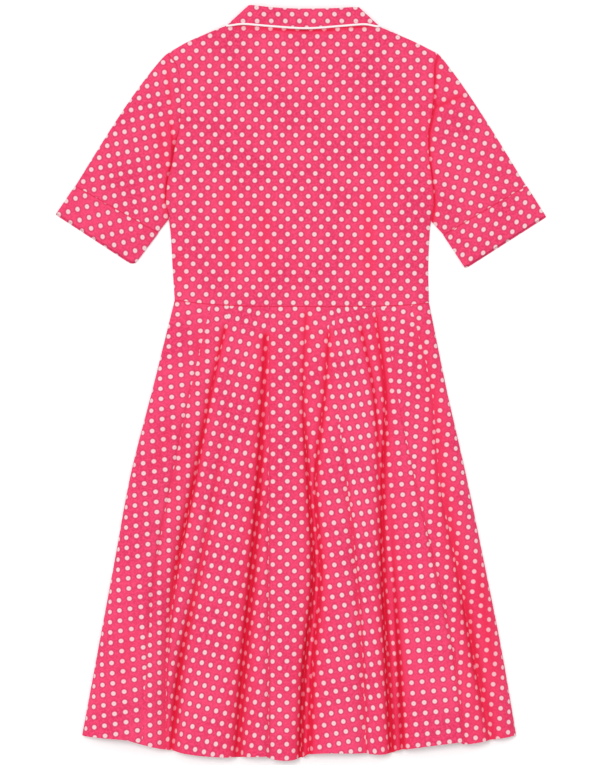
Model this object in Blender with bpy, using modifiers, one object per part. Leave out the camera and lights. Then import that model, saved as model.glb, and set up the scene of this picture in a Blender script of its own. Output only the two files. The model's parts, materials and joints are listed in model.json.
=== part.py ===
"""A short-sleeved shirt dress with a flared skirt, laid flat on its front.

The back is uppermost, the collar points along +Y and the hem along -Y. The origin is on the
surface that the dress lies on, under the middle of its outline. The cloth pieces are walls of
even thickness. Each is the outer face of the cloth, worked out from the sizes below, with its
thickness put on the inside. Sizes are in millimetres, and MM turns them into metres.
"""

import math

import bpy
import numpy as np

MM = 0.001

# Cloth and seams
WALL = 1.2                 # thickness of every cloth wall
SEAM_GAP = 0.3             # clearance between two pieces that are sewn together
LAID_EDGE = 2 * WALL + SEAM_GAP    # height of the outer back face where front and back meet
TUBE_EDGE = 3.2            # height of a flattened sleeve along its folded edges

# Middle of the front and back, measured across the dress
CENTRE = 3.0

# Outline of the bodice, as (x, y) points
WAIST_LINE = [(-186, 122), (-142, 117), (-95, 114), (-45, 113), (5, 113), (80, 113),
              (131, 114), (176, 116.5), (190, 118)]
LEFT_SIDE = [(-186, 122), (-189, 167), (-192, 220), (-195, 243)]
RIGHT_SIDE = [(190, 118), (189, 167), (191, 220), (193, 240)]
LEFT_ARMHOLE = [(-195, 243), (-199, 268), (-197, 295), (-190, 324), (-185, 352), (-178, 384),
                (-177, 425), (-182, 466), (-197, 487)]
RIGHT_ARMHOLE = [(193, 240), (197, 268), (195, 297), (190, 334), (189, 366), (195, 402),
                 (198, 440), (198, 466), (203, 487)]
LEFT_SHOULDER = [(-197, 487), (-168, 504), (-128, 521), (-88, 536)]
RIGHT_SHOULDER = [(98, 534), (130, 521), (169, 504.5), (203, 487)]
BACK_NECK = [(-88, 536), (-60, 534), (4, 532), (68, 533), (98, 534)]
FRONT_NECK_Y = 451.0       # height of the neckline at the middle of the front

# Loft of the back above the front
BACK_LOFT = 7.6            # height of the back bodice over most of its area
WAIST_LOFT = 6.7           # height at the waist seam
WAIST_RISE = 40.0          # width over which the back rises from the waist seam
NECK_SIDE_LOFT = 5.9       # height where the shoulder meets the collar
SIDE_ROLL = 38.0           # width over which the back rises from its side edges
SHOULDER_ROLL = 18.0       # width over which the back rises from the shoulder line
NECK_ROLL = 45.0           # extra width of that rise beside the ends of the neckline
ARMHOLE_ROLL = 16.0        # width over which a sleeve rises from its seam

# Front opening: the right front laps over the left, and the buttons hold them
LAP = 15.0                 # how far each front passes the middle
LAP_MARGIN = 2.0           # how far outside the lap the front's last column lies
LAP_FLAT = 1.0             # flat strip beside that column before the front comes down
LAP_SLOPE = 14.0           # width over which a front rises to its lap
BUTTON_RADIUS = 5.75
BUTTON_THICKNESS = 2.0
BUTTON_RIM = 0.4           # width of the bevel round a button
BUTTON_SIDES = 20
SHARP_ANGLE = 40.0         # an edge that turns more degrees than this is shaded sharp
BUTTON_COUNT = 5
BUTTON_TOP = 437.0         # y of the highest button
BUTTON_STEP = 76.0
RIGHT_LAP_LIFT = BUTTON_THICKNESS + SEAM_GAP
LEFT_LAP_LIFT = RIGHT_LAP_LIFT + WALL + SEAM_GAP

# Collar: rows for the front end, the side of the neck and the middle of the back
PIPING_RADIUS = 1.0
PIPING_GAP = 0.6           # clearance between the collar's edge and its piping
LEAF_LIFT = 2 * PIPING_RADIUS + SEAM_GAP    # how far a collar leaf lifts the front above it
LEAF_MARGIN = 22.0         # how far beside a leaf the front stays lifted
LEAF_SLOPE = 22.0          # width over which the front then comes down
# name: fold (x, y), outer edge (x, y), neck seam (x, y), stand height, fall height
COLLAR = {
    "left_front":  ((-1, 475), (-52, 422), (-1, 452), LEFT_LAP_LIFT + WALL / 2, WALL / 2),
    "left_side":   ((-76, 558), (-101, 532.5), (-87, 538), LEAF_LIFT + WALL / 2, WALL / 2),
    "left_back":   ((-76, 558), (-101, 532.5), (-87, 538), 5.3, 8.1),
    "mid_left":    ((-36, 554), (-45, 526.5), (-42, 534), 6.6, 9.3),
    "mid_back":    ((4, 552.5), (6, 525), (5, 533), 7.0, 9.5),
    "mid_right":   ((45, 553), (60, 525.5), (52, 534), 6.6, 9.3),
    "right_back":  ((86, 555), (113, 529.5), (97, 536), 5.3, 8.1),
    "right_side":  ((86, 555), (113, 529.5), (97, 536), LEAF_LIFT + WALL / 2, WALL / 2),
    "right_front": ((7, 475), (60, 421), (7, 452), RIGHT_LAP_LIFT + WALL / 2, WALL / 2),
}

# Sleeves: (x, y) of four corners of each laid sleeve and its cuff
# side: cuff seam at the outer fold and inner fold, cuff edge at the outer and inner fold
SLEEVES = {
    "left": ((-333, 291), (-211, 222), (-360, 251), (-245, 177)),
    "right": ((334, 291), (212, 219), (360, 249), (242, 173)),
}
SLEEVE_LOFT = 6.5          # extra height of the sleeve's back along its middle
TUBE_ROLL = 30.0           # width over which the sleeve's back rises from its folded edges
SEAM_LOFT_SHARE = 0.15     # share of that extra height at the armhole seam
CUFF_LOFT_SHARE = 0.45     # share of it at the cuff
CUFF_PROUD = 0.8           # how far a cuff stands out from the sleeve
CUFF_UNDERLAP = 2.0        # how far the front of a cuff reaches past its back

# Skirt outline at six stations from the waist to the hem
STATIONS = [0.0, 0.2, 0.4, 0.6, 0.8, 1.0]
SKIRT_LEFT = [-186, -218, -251, -275, -299, -323]
SKIRT_RIGHT = [190, 215, 243, 269, 295, 316]
HEM_LINE = [(-323, -522), (-291, -525), (-259, -528), (-233, -535), (-199, -541),
            (-146, -551), (-103, -553), (-50, -552), (-47, -554.5), (-20, -559),
            (2, -555), (13, -549), (41, -546), (80, -546), (95, -547), (115, -549),
            (137, -547), (141, -544), (180, -538), (223, -532), (236, -530.5), (239, -533.5),
            (267, -530), (316, -522)]

# Skirt crown: height of the ridges at the six stations
CROWN = [6.7, 11.0, 15.5, 19.5, 23.0, 26.0]
EDGE_ROLL = [14, 22, 30, 38, 46, 52]       # width over which the side edges rise
HIDDEN_FLOOR = LAID_EDGE + 0.6             # lowest height that a fold reaches

# Folds of the back skirt. x is the fold's line at the six stations, share is how far it
# sinks towards the front at each, and left and right are the widths of its two slopes.
FOLDS = {
    "a": dict(x=[-113, -140, -161, -186, -204, -217],
              share=[0.30, 0.75, 0.85, 0.75, 0.45, 0.35], left=15, right=4.5),
    "a_inner": dict(x=[-96, -107, -127, -153, -179, -194],
                    share=[0.0, 0.20, 0.40, 0.65, 0.80, 0.85], left=11, right=14),
    "b": dict(x=[-54, -55, -64, -78, -92, -102],
              share=[0.35, 0.85, 0.88, 0.88, 0.88, 0.85], left=11, right=14),
    "centre_left": dict(x=[-47, -47, -47, -47, -47, -47],
                        share=[0.10, 0.25, 0.30, 0.35, 0.35, 0.35], left=6, right=4),
    "c": dict(x=[4, 1, 9, 14, 8, 0],
              share=[0.35, 0.70, 0.80, 0.92, 0.94, 0.92], left=9, right=9),
    "c_branch": dict(x=[44, 33, 18, 19, 13, 5],
                     share=[0.30, 0.62, 0.72, 0.50, 0.40, 0.30], left=8, right=9),
    "d": dict(x=[50, 53, 70, 80, 94, 95],
              share=[0.10, 0.15, 0.38, 0.45, 0.48, 0.42], left=17, right=5),
    "e": dict(x=[85, 108, 120, 121, 127, 137],
              share=[0.30, 0.62, 0.60, 0.20, 0.0, 0.0], left=8, right=6),
    "f": dict(x=[112, 126, 127, 126, 132, 141],
              share=[0.32, 0.80, 0.90, 0.94, 0.94, 0.92], left=9, right=12),
    "g": dict(x=[127, 143, 169, 195, 215, 238],
              share=[0.15, 0.25, 0.38, 0.42, 0.42, 0.40], left=5, right=5),
    "h": dict(x=[172, 193, 204, 228, 255, 289],
              share=[0.30, 0.60, 0.62, 0.75, 0.82, 0.80], left=8, right=16),
}

FOLD_WIDTH_AT_WAIST = 0.55     # share of a fold's full width that it has at the waist
DEEPEST_SHARE = 0.95           # no fold sinks by more than this share of the crown

# How the columns of the skirt's mesh are shared out between its edges and folds
FOLD_COLUMNS = [8, 5, 8, 4, 8, 4, 7, 5, 3, 7, 6, 7]
SKIRT_ROWS = 13
FRONT_COLUMNS = 14
FRONT_ROWS = 5

# Short soft creases: from (x, y), to (x, y), depth and width
BACK_DRAPES = [((-109, 300), (-103, 190), 1.4, 12), ((-60, 280), (-60, 175), 0.9, 11),
               ((-5, 205), (-8, 120), 0.8, 10), ((97, 265), (116, 125), 1.3, 12),
               ((140, 462), (135, 275), 1.5, 13), ((-181, 205), (-170, 135), 0.9, 9)]
SKIRT_DRAPES = [((140, -215), (172, -350), 4.5, 10), ((-186, -45), (-224, -145), 3.0, 11),
                ((-149, 95), (-155, 30), 1.5, 8)]

# Finishes: colour and roughness
PINK_COTTON = ((0.913, 0.062, 0.155), 0.8)
WHITE_PIPING = ((0.88, 0.86, 0.84), 0.75)
BUTTON_SHELL = ((0.85, 0.78, 0.74), 0.35)


# ---- curves and patches ----------------------------------------------------------------

def smooth_values(values, at):
    """Catmull-Rom curve through values given at the stations, read at the fractions at."""
    stations = np.array(STATIONS)
    values = np.array(values, float)
    slopes = np.gradient(values, stations)
    right = np.clip(np.searchsorted(stations, at, side="right"), 1, len(stations) - 1)
    left = right - 1
    span = stations[right] - stations[left]
    t = (at - stations[left]) / span
    return ((2 * t**3 - 3 * t**2 + 1) * values[left] + (t**3 - 2 * t**2 + t) * span * slopes[left]
            + (3 * t**2 - 2 * t**3) * values[right] + (t**3 - t**2) * span * slopes[right])


def along(points, steps):
    """steps + 1 points spaced evenly by length along the open line through points."""
    points = np.array(points, float)
    lengths = np.linalg.norm(np.diff(points, axis=0), axis=1)
    travelled = np.concatenate([[0.0], np.cumsum(lengths)])
    wanted = np.linspace(0.0, travelled[-1], steps + 1)
    return np.stack([np.interp(wanted, travelled, points[:, k]) for k in range(2)], axis=1)


def chain(*stretches):
    """Joins lines end to end, dropping the point that each shares with the one before."""
    return np.concatenate([stretches[0]] + [line[1:] for line in stretches[1:]])


def patch(bottom, top, left, right):
    """Coons patch between four edge lines: the blend across plus the blend up, less corners."""
    u = np.linspace(0, 1, len(bottom))[:, None, None]
    v = np.linspace(0, 1, len(left))[None, :, None]
    across = (1 - v) * bottom[:, None] + v * top[:, None]
    upward = (1 - u) * left[None, :] + u * right[None, :]
    corners = ((1 - u) * (1 - v) * bottom[0] + u * (1 - v) * bottom[-1]
               + (1 - u) * v * top[0] + u * v * top[-1])
    return across + upward - corners


def smooth_step(t):
    """0 below 0, 1 above 1, and a soft S between."""
    t = np.clip(t, 0, 1)
    return t * t * (3 - 2 * t)


def roll(distance, width):
    """Quarter of an ellipse: 0 at an edge, 1 at width and beyond."""
    left_over = 1 - np.clip(distance / width, 0, 1)
    return np.sqrt(1 - left_over**2)


def trough(distance, left, right):
    """Soft valley of height 1 on its line, with a slope of its own width on each side."""
    reach = np.where(distance < 0, left, right)
    return (1 + (distance / reach) ** 2) ** -1.5


def drapes(x, y, table):
    """Summed depth at x, y of short creases that fade in and out along their lines."""
    depth = np.zeros_like(x)
    for start, end, deep, width in table:
        run = np.subtract(end, start)
        length = math.hypot(*run)
        run = run / length
        forward = (x - start[0]) * run[0] + (y - start[1]) * run[1]
        aside = (x - start[0]) * run[1] - (y - start[1]) * run[0]
        fade = smooth_step(forward / length * 3) * smooth_step((1 - forward / length) * 3)
        depth += deep * fade * trough(aside, width, width)
    return depth


# ---- Blender helpers -------------------------------------------------------------------

def clear_scene():
    for item in list(bpy.context.scene.objects):
        bpy.data.objects.remove(item, do_unlink=True)


def make_material(name, colour, roughness):
    material = bpy.data.materials.new(name)
    material.use_nodes = True
    shader = material.node_tree.nodes["Principled BSDF"]
    shader.inputs["Base Color"].default_value = (*colour, 1.0)
    shader.inputs["Roughness"].default_value = roughness
    shader.inputs["Metallic"].default_value = 0.0
    material.diffuse_color = (*colour, 1.0)
    return material


def cloth(name, face, material, collection, looped=False, flip=False):
    """Makes a wall of cloth whose outer face is the grid of points in face.

    face[i, j] is a point in millimetres. looped joins the last row of i to the first. The
    outer side is the one that sees i and j turn anticlockwise, or the other with flip.
    """
    rows, columns = face.shape[:2]
    index = np.arange(rows * columns).reshape(rows, columns)
    if looped:
        index = np.concatenate([index, index[:1]])
    corners = [index[:-1, :-1], index[1:, :-1], index[1:, 1:], index[:-1, 1:]]
    if flip:
        corners.reverse()
    quads = np.stack(corners, axis=-1).reshape(-1, 4)
    mesh = bpy.data.meshes.new(name)
    mesh.from_pydata((face.reshape(-1, 3) * MM).tolist(), [], quads.tolist())
    mesh.materials.append(material)
    piece = bpy.data.objects.new(name, mesh)
    collection.objects.link(piece)
    wall = piece.modifiers.new("Wall", "SOLIDIFY")
    wall.thickness = WALL * MM
    wall.offset = -1.0
    wall.use_quality_normals = True
    return piece


def lift(plan, height):
    """Adds a height to each point of a plan."""
    return np.concatenate([plan, np.broadcast_to(height, plan.shape[:2])[..., None]], axis=-1)


# ---- bodice ----------------------------------------------------------------------------

SHOULDER_STEPS = 6
NECK_STEPS = 10
NECK_RISE_STEPS = 4        # mesh steps over which the neckline rises from its two ends
FRONT_NECK_STEPS = 5
WAIST_SAMPLES = 20
LAP_STEPS = 2
SIDE_STEPS = 5
ARMHOLE_STEPS = 10


def body_side(side, armhole, sign):
    """Side seam and armhole edge of the body, half a seam's gap inside the measured line."""
    line = chain(along(side, SIDE_STEPS), along(armhole, ARMHOLE_STEPS))
    return line - (sign * SEAM_GAP / 2, 0)


def leaf_share(x, y, side):
    """1 over a collar leaf and close beside it, falling softly to 0 further out."""
    fold, edge = COLLAR[side + "_front"][:2]
    neck_fold, neck_edge = COLLAR[side + "_side"][:2]
    corners = [neck_fold, neck_edge, edge, fold]
    if side == "right":
        corners.reverse()
    outside = np.full_like(x, -1e3)
    for (x0, y0), (x1, y1) in zip(corners, corners[1:] + corners[:1]):
        length = math.hypot(x1 - x0, y1 - y0)
        outside = np.maximum(outside, ((x - x0) * (y1 - y0) - (y - y0) * (x1 - x0)) / length)
    return smooth_step(1 - (outside - LEAF_MARGIN) / LEAF_SLOPE)


def back_bodice(material, collection):
    """The back from side to side: lofted above the front, rolled down at sides and shoulders."""
    steps = 2 * SHOULDER_STEPS + NECK_STEPS
    bottom = along(WAIST_LINE, steps) + (0, SEAM_GAP)
    top = chain(along(LEFT_SHOULDER, SHOULDER_STEPS), along(BACK_NECK, NECK_STEPS),
                along(RIGHT_SHOULDER, SHOULDER_STEPS)) - (0, SEAM_GAP)
    left = body_side(LEFT_SIDE, LEFT_ARMHOLE, -1)
    right = body_side(RIGHT_SIDE, RIGHT_ARMHOLE, 1)
    left[0], right[0], top[0], top[-1] = bottom[0], bottom[-1], left[-1], right[-1]
    plan = patch(bottom, top, left, right)
    x, y = plan[..., 0], plan[..., 1]

    column = np.arange(steps + 1)
    inside_neck = np.minimum(column, steps - column) - SHOULDER_STEPS + 1
    at_neck = roll(inside_neck, NECK_RISE_STEPS)
    over_leaf = np.maximum(leaf_share(top[:, 0], top[:, 1], "left"),
                           leaf_share(top[:, 0], top[:, 1], "right"))
    top_edge = LAID_EDGE + (NECK_SIDE_LOFT - LAID_EDGE) * over_leaf
    top_edge += (BACK_LOFT - NECK_SIDE_LOFT) * at_neck
    below_top = top[:, 1][:, None] - y
    over_waist = smooth_step((y - bottom[:, 1][:, None]) / WAIST_RISE)
    body = WAIST_LOFT + (BACK_LOFT - WAIST_LOFT) * over_waist
    from_neck = np.minimum(abs(x - LEFT_SHOULDER[-1][0]), abs(x - RIGHT_SHOULDER[0][0]))
    roll_width = SHOULDER_ROLL + NECK_ROLL * (1 - smooth_step(from_neck / NECK_ROLL))
    body = top_edge[:, None] + (body - top_edge[:, None]) * smooth_step(below_top / roll_width)
    from_side = np.minimum(x - left[None, :, 0], right[None, :, 0] - x)
    height = LAID_EDGE + (body - LAID_EDGE) * roll(from_side, SIDE_ROLL)
    height -= drapes(x, y, BACK_DRAPES) * roll(from_side, SIDE_ROLL)
    return cloth("back_bodice", lift(plan, height), material, collection)


def front_bodice(side, material, collection):
    """One front, from its side seam to its lap, lifted over the collar leaf and the buttons."""
    sign = -1 if side == "left" else 1
    lap_edge = CENTRE - sign * LAP
    if side == "left":
        outer_line = body_side(LEFT_SIDE, LEFT_ARMHOLE, sign)
        shoulder = LEFT_SHOULDER
        waist_corner = WAIST_LINE[0]
    else:
        outer_line = body_side(RIGHT_SIDE, RIGHT_ARMHOLE, sign)
        shoulder = RIGHT_SHOULDER[::-1]
        waist_corner = WAIST_LINE[-1]
    lap_start = CENTRE + sign * (LAP + LAP_MARGIN)
    seam_end = COLLAR[side + "_front"][2]
    neck_start = np.interp(lap_start * sign, *np.transpose(sorted(
        [(seam_end[0] * sign, seam_end[1]), (shoulder[-1][0] * sign, shoulder[-1][1])])))
    waist_x, waist_y = np.array(WAIST_LINE, float).T
    waist = [(x, np.interp(x, waist_x, waist_y))
             for x in np.linspace(waist_corner[0], lap_start, WAIST_SAMPLES)]
    steps = SHOULDER_STEPS + FRONT_NECK_STEPS
    lap_waist = along([waist[-1], (lap_edge, np.interp(lap_edge, waist_x, waist_y))], LAP_STEPS)
    bottom = chain(along(waist, steps), lap_waist) + (0, SEAM_GAP)
    neck = along([shoulder[-1], (lap_start, neck_start)], FRONT_NECK_STEPS)
    lap_neck = np.array([neck[-1], seam_end, (lap_edge, FRONT_NECK_Y)])
    top = chain(along(shoulder, SHOULDER_STEPS), neck, lap_neck) - (0, 2 * SEAM_GAP)
    outer_line[0], top[0] = bottom[0], outer_line[-1]
    inner_line = along([bottom[-1], top[-1]], SIDE_STEPS + ARMHOLE_STEPS)
    plan = patch(bottom, top, outer_line, inner_line)
    x, y = plan[..., 0], plan[..., 1]

    lap_lift = LEFT_LAP_LIFT if side == "left" else RIGHT_LAP_LIFT
    before_lap = (x - lap_start) * sign - LAP_FLAT
    on_lap = lap_lift * smooth_step(1 - before_lap / LAP_SLOPE)
    on_leaf = LEAF_LIFT * leaf_share(x, y, side)
    height = np.maximum(on_lap, on_leaf)
    return cloth("front_bodice_" + side, lift(plan, height), material, collection,
                 flip=side == "left")


def buttons(material, collection):
    """Flat round buttons under the lap, with a bevelled rim."""
    for number in range(BUTTON_COUNT):
        y = BUTTON_TOP - number * BUTTON_STEP
        bpy.ops.mesh.primitive_cylinder_add(
            vertices=BUTTON_SIDES, radius=BUTTON_RADIUS * MM, depth=BUTTON_THICKNESS * MM,
            location=(CENTRE * MM, y * MM, BUTTON_THICKNESS / 2 * MM))
        button = bpy.context.object
        button.name = "button_%d" % (number + 1)
        button.data.materials.append(material)
        button.data.shade_smooth()
        button.data.set_sharp_from_angle(angle=math.radians(SHARP_ANGLE))
        rim = button.modifiers.new("Rim", "BEVEL")
        rim.width = BUTTON_RIM * MM
        rim.segments = 1
        for holder in button.users_collection:
            holder.objects.unlink(button)
        collection.objects.link(button)


# ---- sleeves and cuffs -----------------------------------------------------------------

EDGE_STEPS = 3
TUBE_STEPS = ARMHOLE_STEPS
SHOULDER_CLEARANCE = 0.7    # room for the sleeve's inner fold beside the shoulder
SLEEVE_ROWS = 8
CUFF_ROWS = 2


def tube(plan_top, plan_bottom, top_height, edge_height):
    """Flattened tube: a lower layer on the surface, an upper layer, and rounded side folds.

    The plans run across the tube in i and along it in j. top_height is the upper layer's
    height, and edge_height that of the two side folds, whose sections are half circles.
    """
    radius = edge_height / 2
    angle = np.linspace(0, math.pi, EDGE_STEPS + 2)[1:-1][:, None, None]

    def drawn_in(plan):
        """The plan with its two outer lines moved inwards by the fold's radius."""
        moved = plan.copy()
        outward = []
        for edge, beside in ((0, 1), (-1, -2)):
            away = plan[edge] - plan[beside]
            away = away / np.linalg.norm(away, axis=-1, keepdims=True)
            moved[edge] -= away * radius
            outward.append(away)
        return moved, outward

    top, (first_out, last_out) = drawn_in(plan_top)
    bottom = drawn_in(plan_bottom)[0]
    rings = [lift(top, top_height)]
    share = (1 - np.cos(angle)) / 2
    height = (radius + radius * np.cos(angle))[..., 0]
    plan = (1 - share) * top[-1] + share * bottom[-1] + np.sin(angle) * radius * last_out
    rings.append(lift(plan, height))
    rings.append(lift(bottom[::-1], 0.0))
    plan = share * top[0] + (1 - share) * bottom[0] + np.sin(angle) * radius * first_out
    rings.append(lift(plan, height[::-1]))
    return np.concatenate(rings)


def sleeve(side, material, collection):
    """Flattened sleeve from the armhole to the cuff seam."""
    seam_outer, seam_inner, edge_outer = [np.array(p, float) for p in SLEEVES[side][:3]]
    armhole, sign = (LEFT_ARMHOLE, -1) if side == "left" else (RIGHT_ARMHOLE, 1)
    down = (edge_outer - seam_outer) / np.linalg.norm(edge_outer - seam_outer)
    near = along(armhole, TUBE_STEPS) + (sign * SEAM_GAP / 2, 0)
    near[-1] += (sign * SHOULDER_CLEARANCE, 0)
    far = along([seam_inner, seam_outer], TUBE_STEPS) - down * SEAM_GAP / 2
    under = along([near[0], far[0]], SLEEVE_ROWS)
    over = along([near[-1], far[-1]], SLEEVE_ROWS)
    plan = patch(near, far, under, over)
    across = np.linspace(0, 1, TUBE_STEPS + 1)[:, None]
    along_it = np.linspace(0, 1, SLEEVE_ROWS + 1)[None, :]
    width = np.linalg.norm(plan[-1] - plan[0], axis=-1)[None, :]
    length = np.linalg.norm(plan[:, -1] - plan[:, 0], axis=-1)[:, None]
    from_folds = roll(across * width, TUBE_ROLL) * roll((1 - across) * width, TUBE_ROLL)
    from_seam = SEAM_LOFT_SHARE + (1 - SEAM_LOFT_SHARE) * roll(along_it * length, ARMHOLE_ROLL)
    to_cuff = 1 - (1 - CUFF_LOFT_SHARE) * along_it
    height = TUBE_EDGE + SLEEVE_LOFT * from_folds * from_seam * to_cuff
    flip = side == "right"
    return cloth("sleeve_" + side, tube(plan, plan, height, TUBE_EDGE), material, collection,
                 looped=True, flip=flip)


def cuff(side, material, collection):
    """Flattened cuff, a little proud of the sleeve, with its front edge reaching further."""
    seam_outer, seam_inner, edge_outer, edge_inner = [np.array(p, float) for p in SLEEVES[side]]
    across = (seam_outer - seam_inner) / np.linalg.norm(seam_outer - seam_inner)
    down = (edge_outer - seam_outer) / np.linalg.norm(edge_outer - seam_outer)
    near = along([seam_inner - across * CUFF_PROUD, seam_outer + across * CUFF_PROUD],
                 TUBE_STEPS) + down * SEAM_GAP / 2
    far = along([edge_inner - across * CUFF_PROUD, edge_outer + across * CUFF_PROUD],
                TUBE_STEPS)
    plan = patch(near, far, along([near[0], far[0]], CUFF_ROWS),
                 along([near[-1], far[-1]], CUFF_ROWS))
    reach = np.linspace(0, 1, CUFF_ROWS + 1)[None, :, None] ** 2
    under = plan + reach * down * CUFF_UNDERLAP
    width = np.linalg.norm(plan[-1] - plan[0], axis=-1)[None, :]
    share = np.linspace(0, 1, TUBE_STEPS + 1)[:, None]
    edge = TUBE_EDGE + CUFF_PROUD
    from_folds = roll(share * width, TUBE_ROLL) * roll((1 - share) * width, TUBE_ROLL)
    height = edge + SLEEVE_LOFT * CUFF_LOFT_SHARE * from_folds
    flip = side == "right"
    return cloth("cuff_" + side, tube(plan, under, height, edge), material, collection,
                 looped=True, flip=flip)


# ---- collar ----------------------------------------------------------------------------

COLLAR_STEPS = {"front": 5, "turn": 5, "back": 3}
STAND_STEPS = 2
FALL_STEPS = 3
FOLD_TURN_STEPS = 3
FOLD_ROOM = 0.35           # part of a step that stand and fall leave free for the fold
LEAF_PIPING = (0.0, 0.3, 0.6, 0.9)    # shares of a leaf's front edge where its piping has points


def collar_frames():
    """Rows along the collar: fold, edge and seam points, the two heights, and the side turn.

    Between a side row and its back row the collar turns from the front layer to the back
    layer. There the heights follow half a circle that bulges outwards.
    """
    names = list(COLLAR)
    rows = []
    for first, second in zip(names, names[1:]):
        kind = ("front" if "front" in first + second
                else "turn" if "side" in first + second else "back")
        steps = COLLAR_STEPS[kind]
        for step in range(steps):
            rows.append((first, second, kind, step / steps))
    rows.append((names[-2], names[-1], "front", 1.0))
    frames = []
    for first, second, kind, share in rows:
        start, end = COLLAR[first], COLLAR[second]
        plan = [np.array(a, float) * (1 - share) + np.array(b, float) * share
                for a, b in zip(start[:3], end[:3])]
        bulge = [0.0, 0.0]
        heights = []
        for layer in range(2):
            low, high = start[3 + layer], end[3 + layer]
            if kind == "turn":
                heights.append((low + high) / 2 - (high - low) / 2 * math.cos(math.pi * share))
                bulge[layer] = abs(high - low) / 2 * math.sin(math.pi * share)
            else:
                ease = share * share * (3 - 2 * share)
                heights.append(low + (high - low) * ease)
        outward = -1.0 if "left" in first else 1.0
        frames.append((plan, heights, [b * outward for b in bulge]))
    return frames


def collar_section(frame):
    """One section of the collar: up the stand, round the fold, and down the fall."""
    (fold, edge, seam), (stand, fall), (stand_bulge, fall_bulge) = frame
    points = []
    for step in range(STAND_STEPS + 1):
        share = step / (STAND_STEPS + FOLD_ROOM)
        plan = seam + (fold - seam) * share
        points.append((plan[0] + stand_bulge, plan[1], stand))
    back_off = np.array([fold[0] - (seam[0] + edge[0]) / 2, fold[1] - (seam[1] + edge[1]) / 2])
    back_off = back_off / np.linalg.norm(back_off)
    radius = abs(fall - stand) / 2
    for step in range(FOLD_TURN_STEPS):
        angle = math.pi * (step + 0.5) / FOLD_TURN_STEPS
        ease = (1 - math.cos(angle)) / 2
        plan = fold - back_off * radius * (1 - math.sin(angle))
        bulge = stand_bulge + (fall_bulge - stand_bulge) * ease
        points.append((plan[0] + bulge, plan[1], stand + (fall - stand) * ease))
    for step in range(FALL_STEPS + 1):
        share = (step + FOLD_ROOM) / (FALL_STEPS + FOLD_ROOM)
        plan = fold + (edge - fold) * share
        points.append((plan[0] + fall_bulge, plan[1], fall))
    return points


def collar(material, collection):
    """Stand and fall in one piece, open at the front, folded over along its top."""
    face = np.array([collar_section(frame) for frame in collar_frames()])
    piece = cloth("collar", face, material, collection)
    piece.modifiers["Wall"].offset = 0.0
    return piece


def piping(material, collection):
    """Round cord along the collar's outer edge and up the front edges of its leaves."""
    reach = PIPING_GAP + PIPING_RADIUS
    edge = []
    for plan, heights, bulges in collar_frames():
        fold, outer = plan[:2]
        away = (outer - fold) / np.linalg.norm(outer - fold)
        place = outer + away * reach
        edge.append((place[0] + bulges[1], place[1], max(heights[1], PIPING_RADIUS)))
    ends = []
    for name, sign in (("left_front", 1), ("right_front", -1)):
        fold, tip = np.array(COLLAR[name][0], float), np.array(COLLAR[name][1], float)
        run = fold - tip
        side = np.array([run[1], -run[0]]) / np.linalg.norm(run) * reach * sign
        stretch = [tip + run * share + side for share in LEAF_PIPING]
        ends.append([(p[0], p[1], PIPING_RADIUS) for p in stretch])
    route = ends[0][::-1] + edge + ends[1]
    curve = bpy.data.curves.new("collar_piping", "CURVE")
    curve.dimensions = "3D"
    curve.bevel_depth = PIPING_RADIUS * MM
    curve.bevel_resolution = 1
    curve.use_fill_caps = True
    spline = curve.splines.new("POLY")
    spline.points.add(len(route) - 1)
    for point, place in zip(spline.points, route):
        point.co = (place[0] * MM, place[1] * MM, place[2] * MM, 1.0)
    curve.materials.append(material)
    piece = bpy.data.objects.new("collar_piping", curve)
    collection.objects.link(piece)
    return piece


# ---- skirt -----------------------------------------------------------------------------

def skirt_plan(columns, rows):
    """Plan of the skirt from lines of x at the stations: waist at j = 0, hem at the last."""
    at = np.linspace(0, 1, rows + 1)
    x = np.array([smooth_values(column, at) for column in columns])
    waist_x, waist_y = np.array(WAIST_LINE, float).T
    hem_x, hem_y = np.array(HEM_LINE, float).T
    start = np.interp(x[:, :1], waist_x, waist_y) - SEAM_GAP
    end = np.interp(x[:, -1:], hem_x, hem_y)
    y = start + (end - start) * at
    return np.stack([x, y], axis=-1), at


def fold_columns():
    """Lines of x between the side edges and the folds, closest together beside the folds."""
    lines = [SKIRT_LEFT] + [fold["x"] for fold in FOLDS.values()] + [SKIRT_RIGHT]
    columns = []
    for left, right, count in zip(lines, lines[1:], FOLD_COLUMNS):
        for step in range(count):
            share = (1 - math.cos(math.pi * step / count)) / 2
            columns.append([a + (b - a) * share for a, b in zip(left, right)])
    columns.append(SKIRT_RIGHT)
    return columns


def skirt_height(plan, at):
    """Crown that rises from the side edges, sunk by each fold's share of it, less creases."""
    x, y = plan[..., 0], plan[..., 1]
    crown = smooth_values(CROWN, at)
    edge_roll = smooth_values(EDGE_ROLL, at)
    from_side = np.minimum(x - x[0], x[-1] - x)
    kept = np.ones_like(x)
    widen = FOLD_WIDTH_AT_WAIST + (1 - FOLD_WIDTH_AT_WAIST) * at
    for fold in FOLDS.values():
        share = np.clip(smooth_values(fold["share"], at), 0, DEEPEST_SHARE)
        distance = x - smooth_values(fold["x"], at)
        kept *= 1 - share * trough(distance, fold["left"] * widen, fold["right"] * widen)
    rise = roll(from_side, edge_roll)
    above = (crown - HIDDEN_FLOOR) * kept - drapes(x, y, SKIRT_DRAPES)
    height = HIDDEN_FLOOR + np.maximum(above, 0)
    return LAID_EDGE + (height - LAID_EDGE) * rise


def skirt_back(material, collection):
    plan, at = skirt_plan(fold_columns(), SKIRT_ROWS)
    face = lift(plan, skirt_height(plan, at))
    return cloth("skirt_back", face, material, collection, flip=True)


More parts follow.
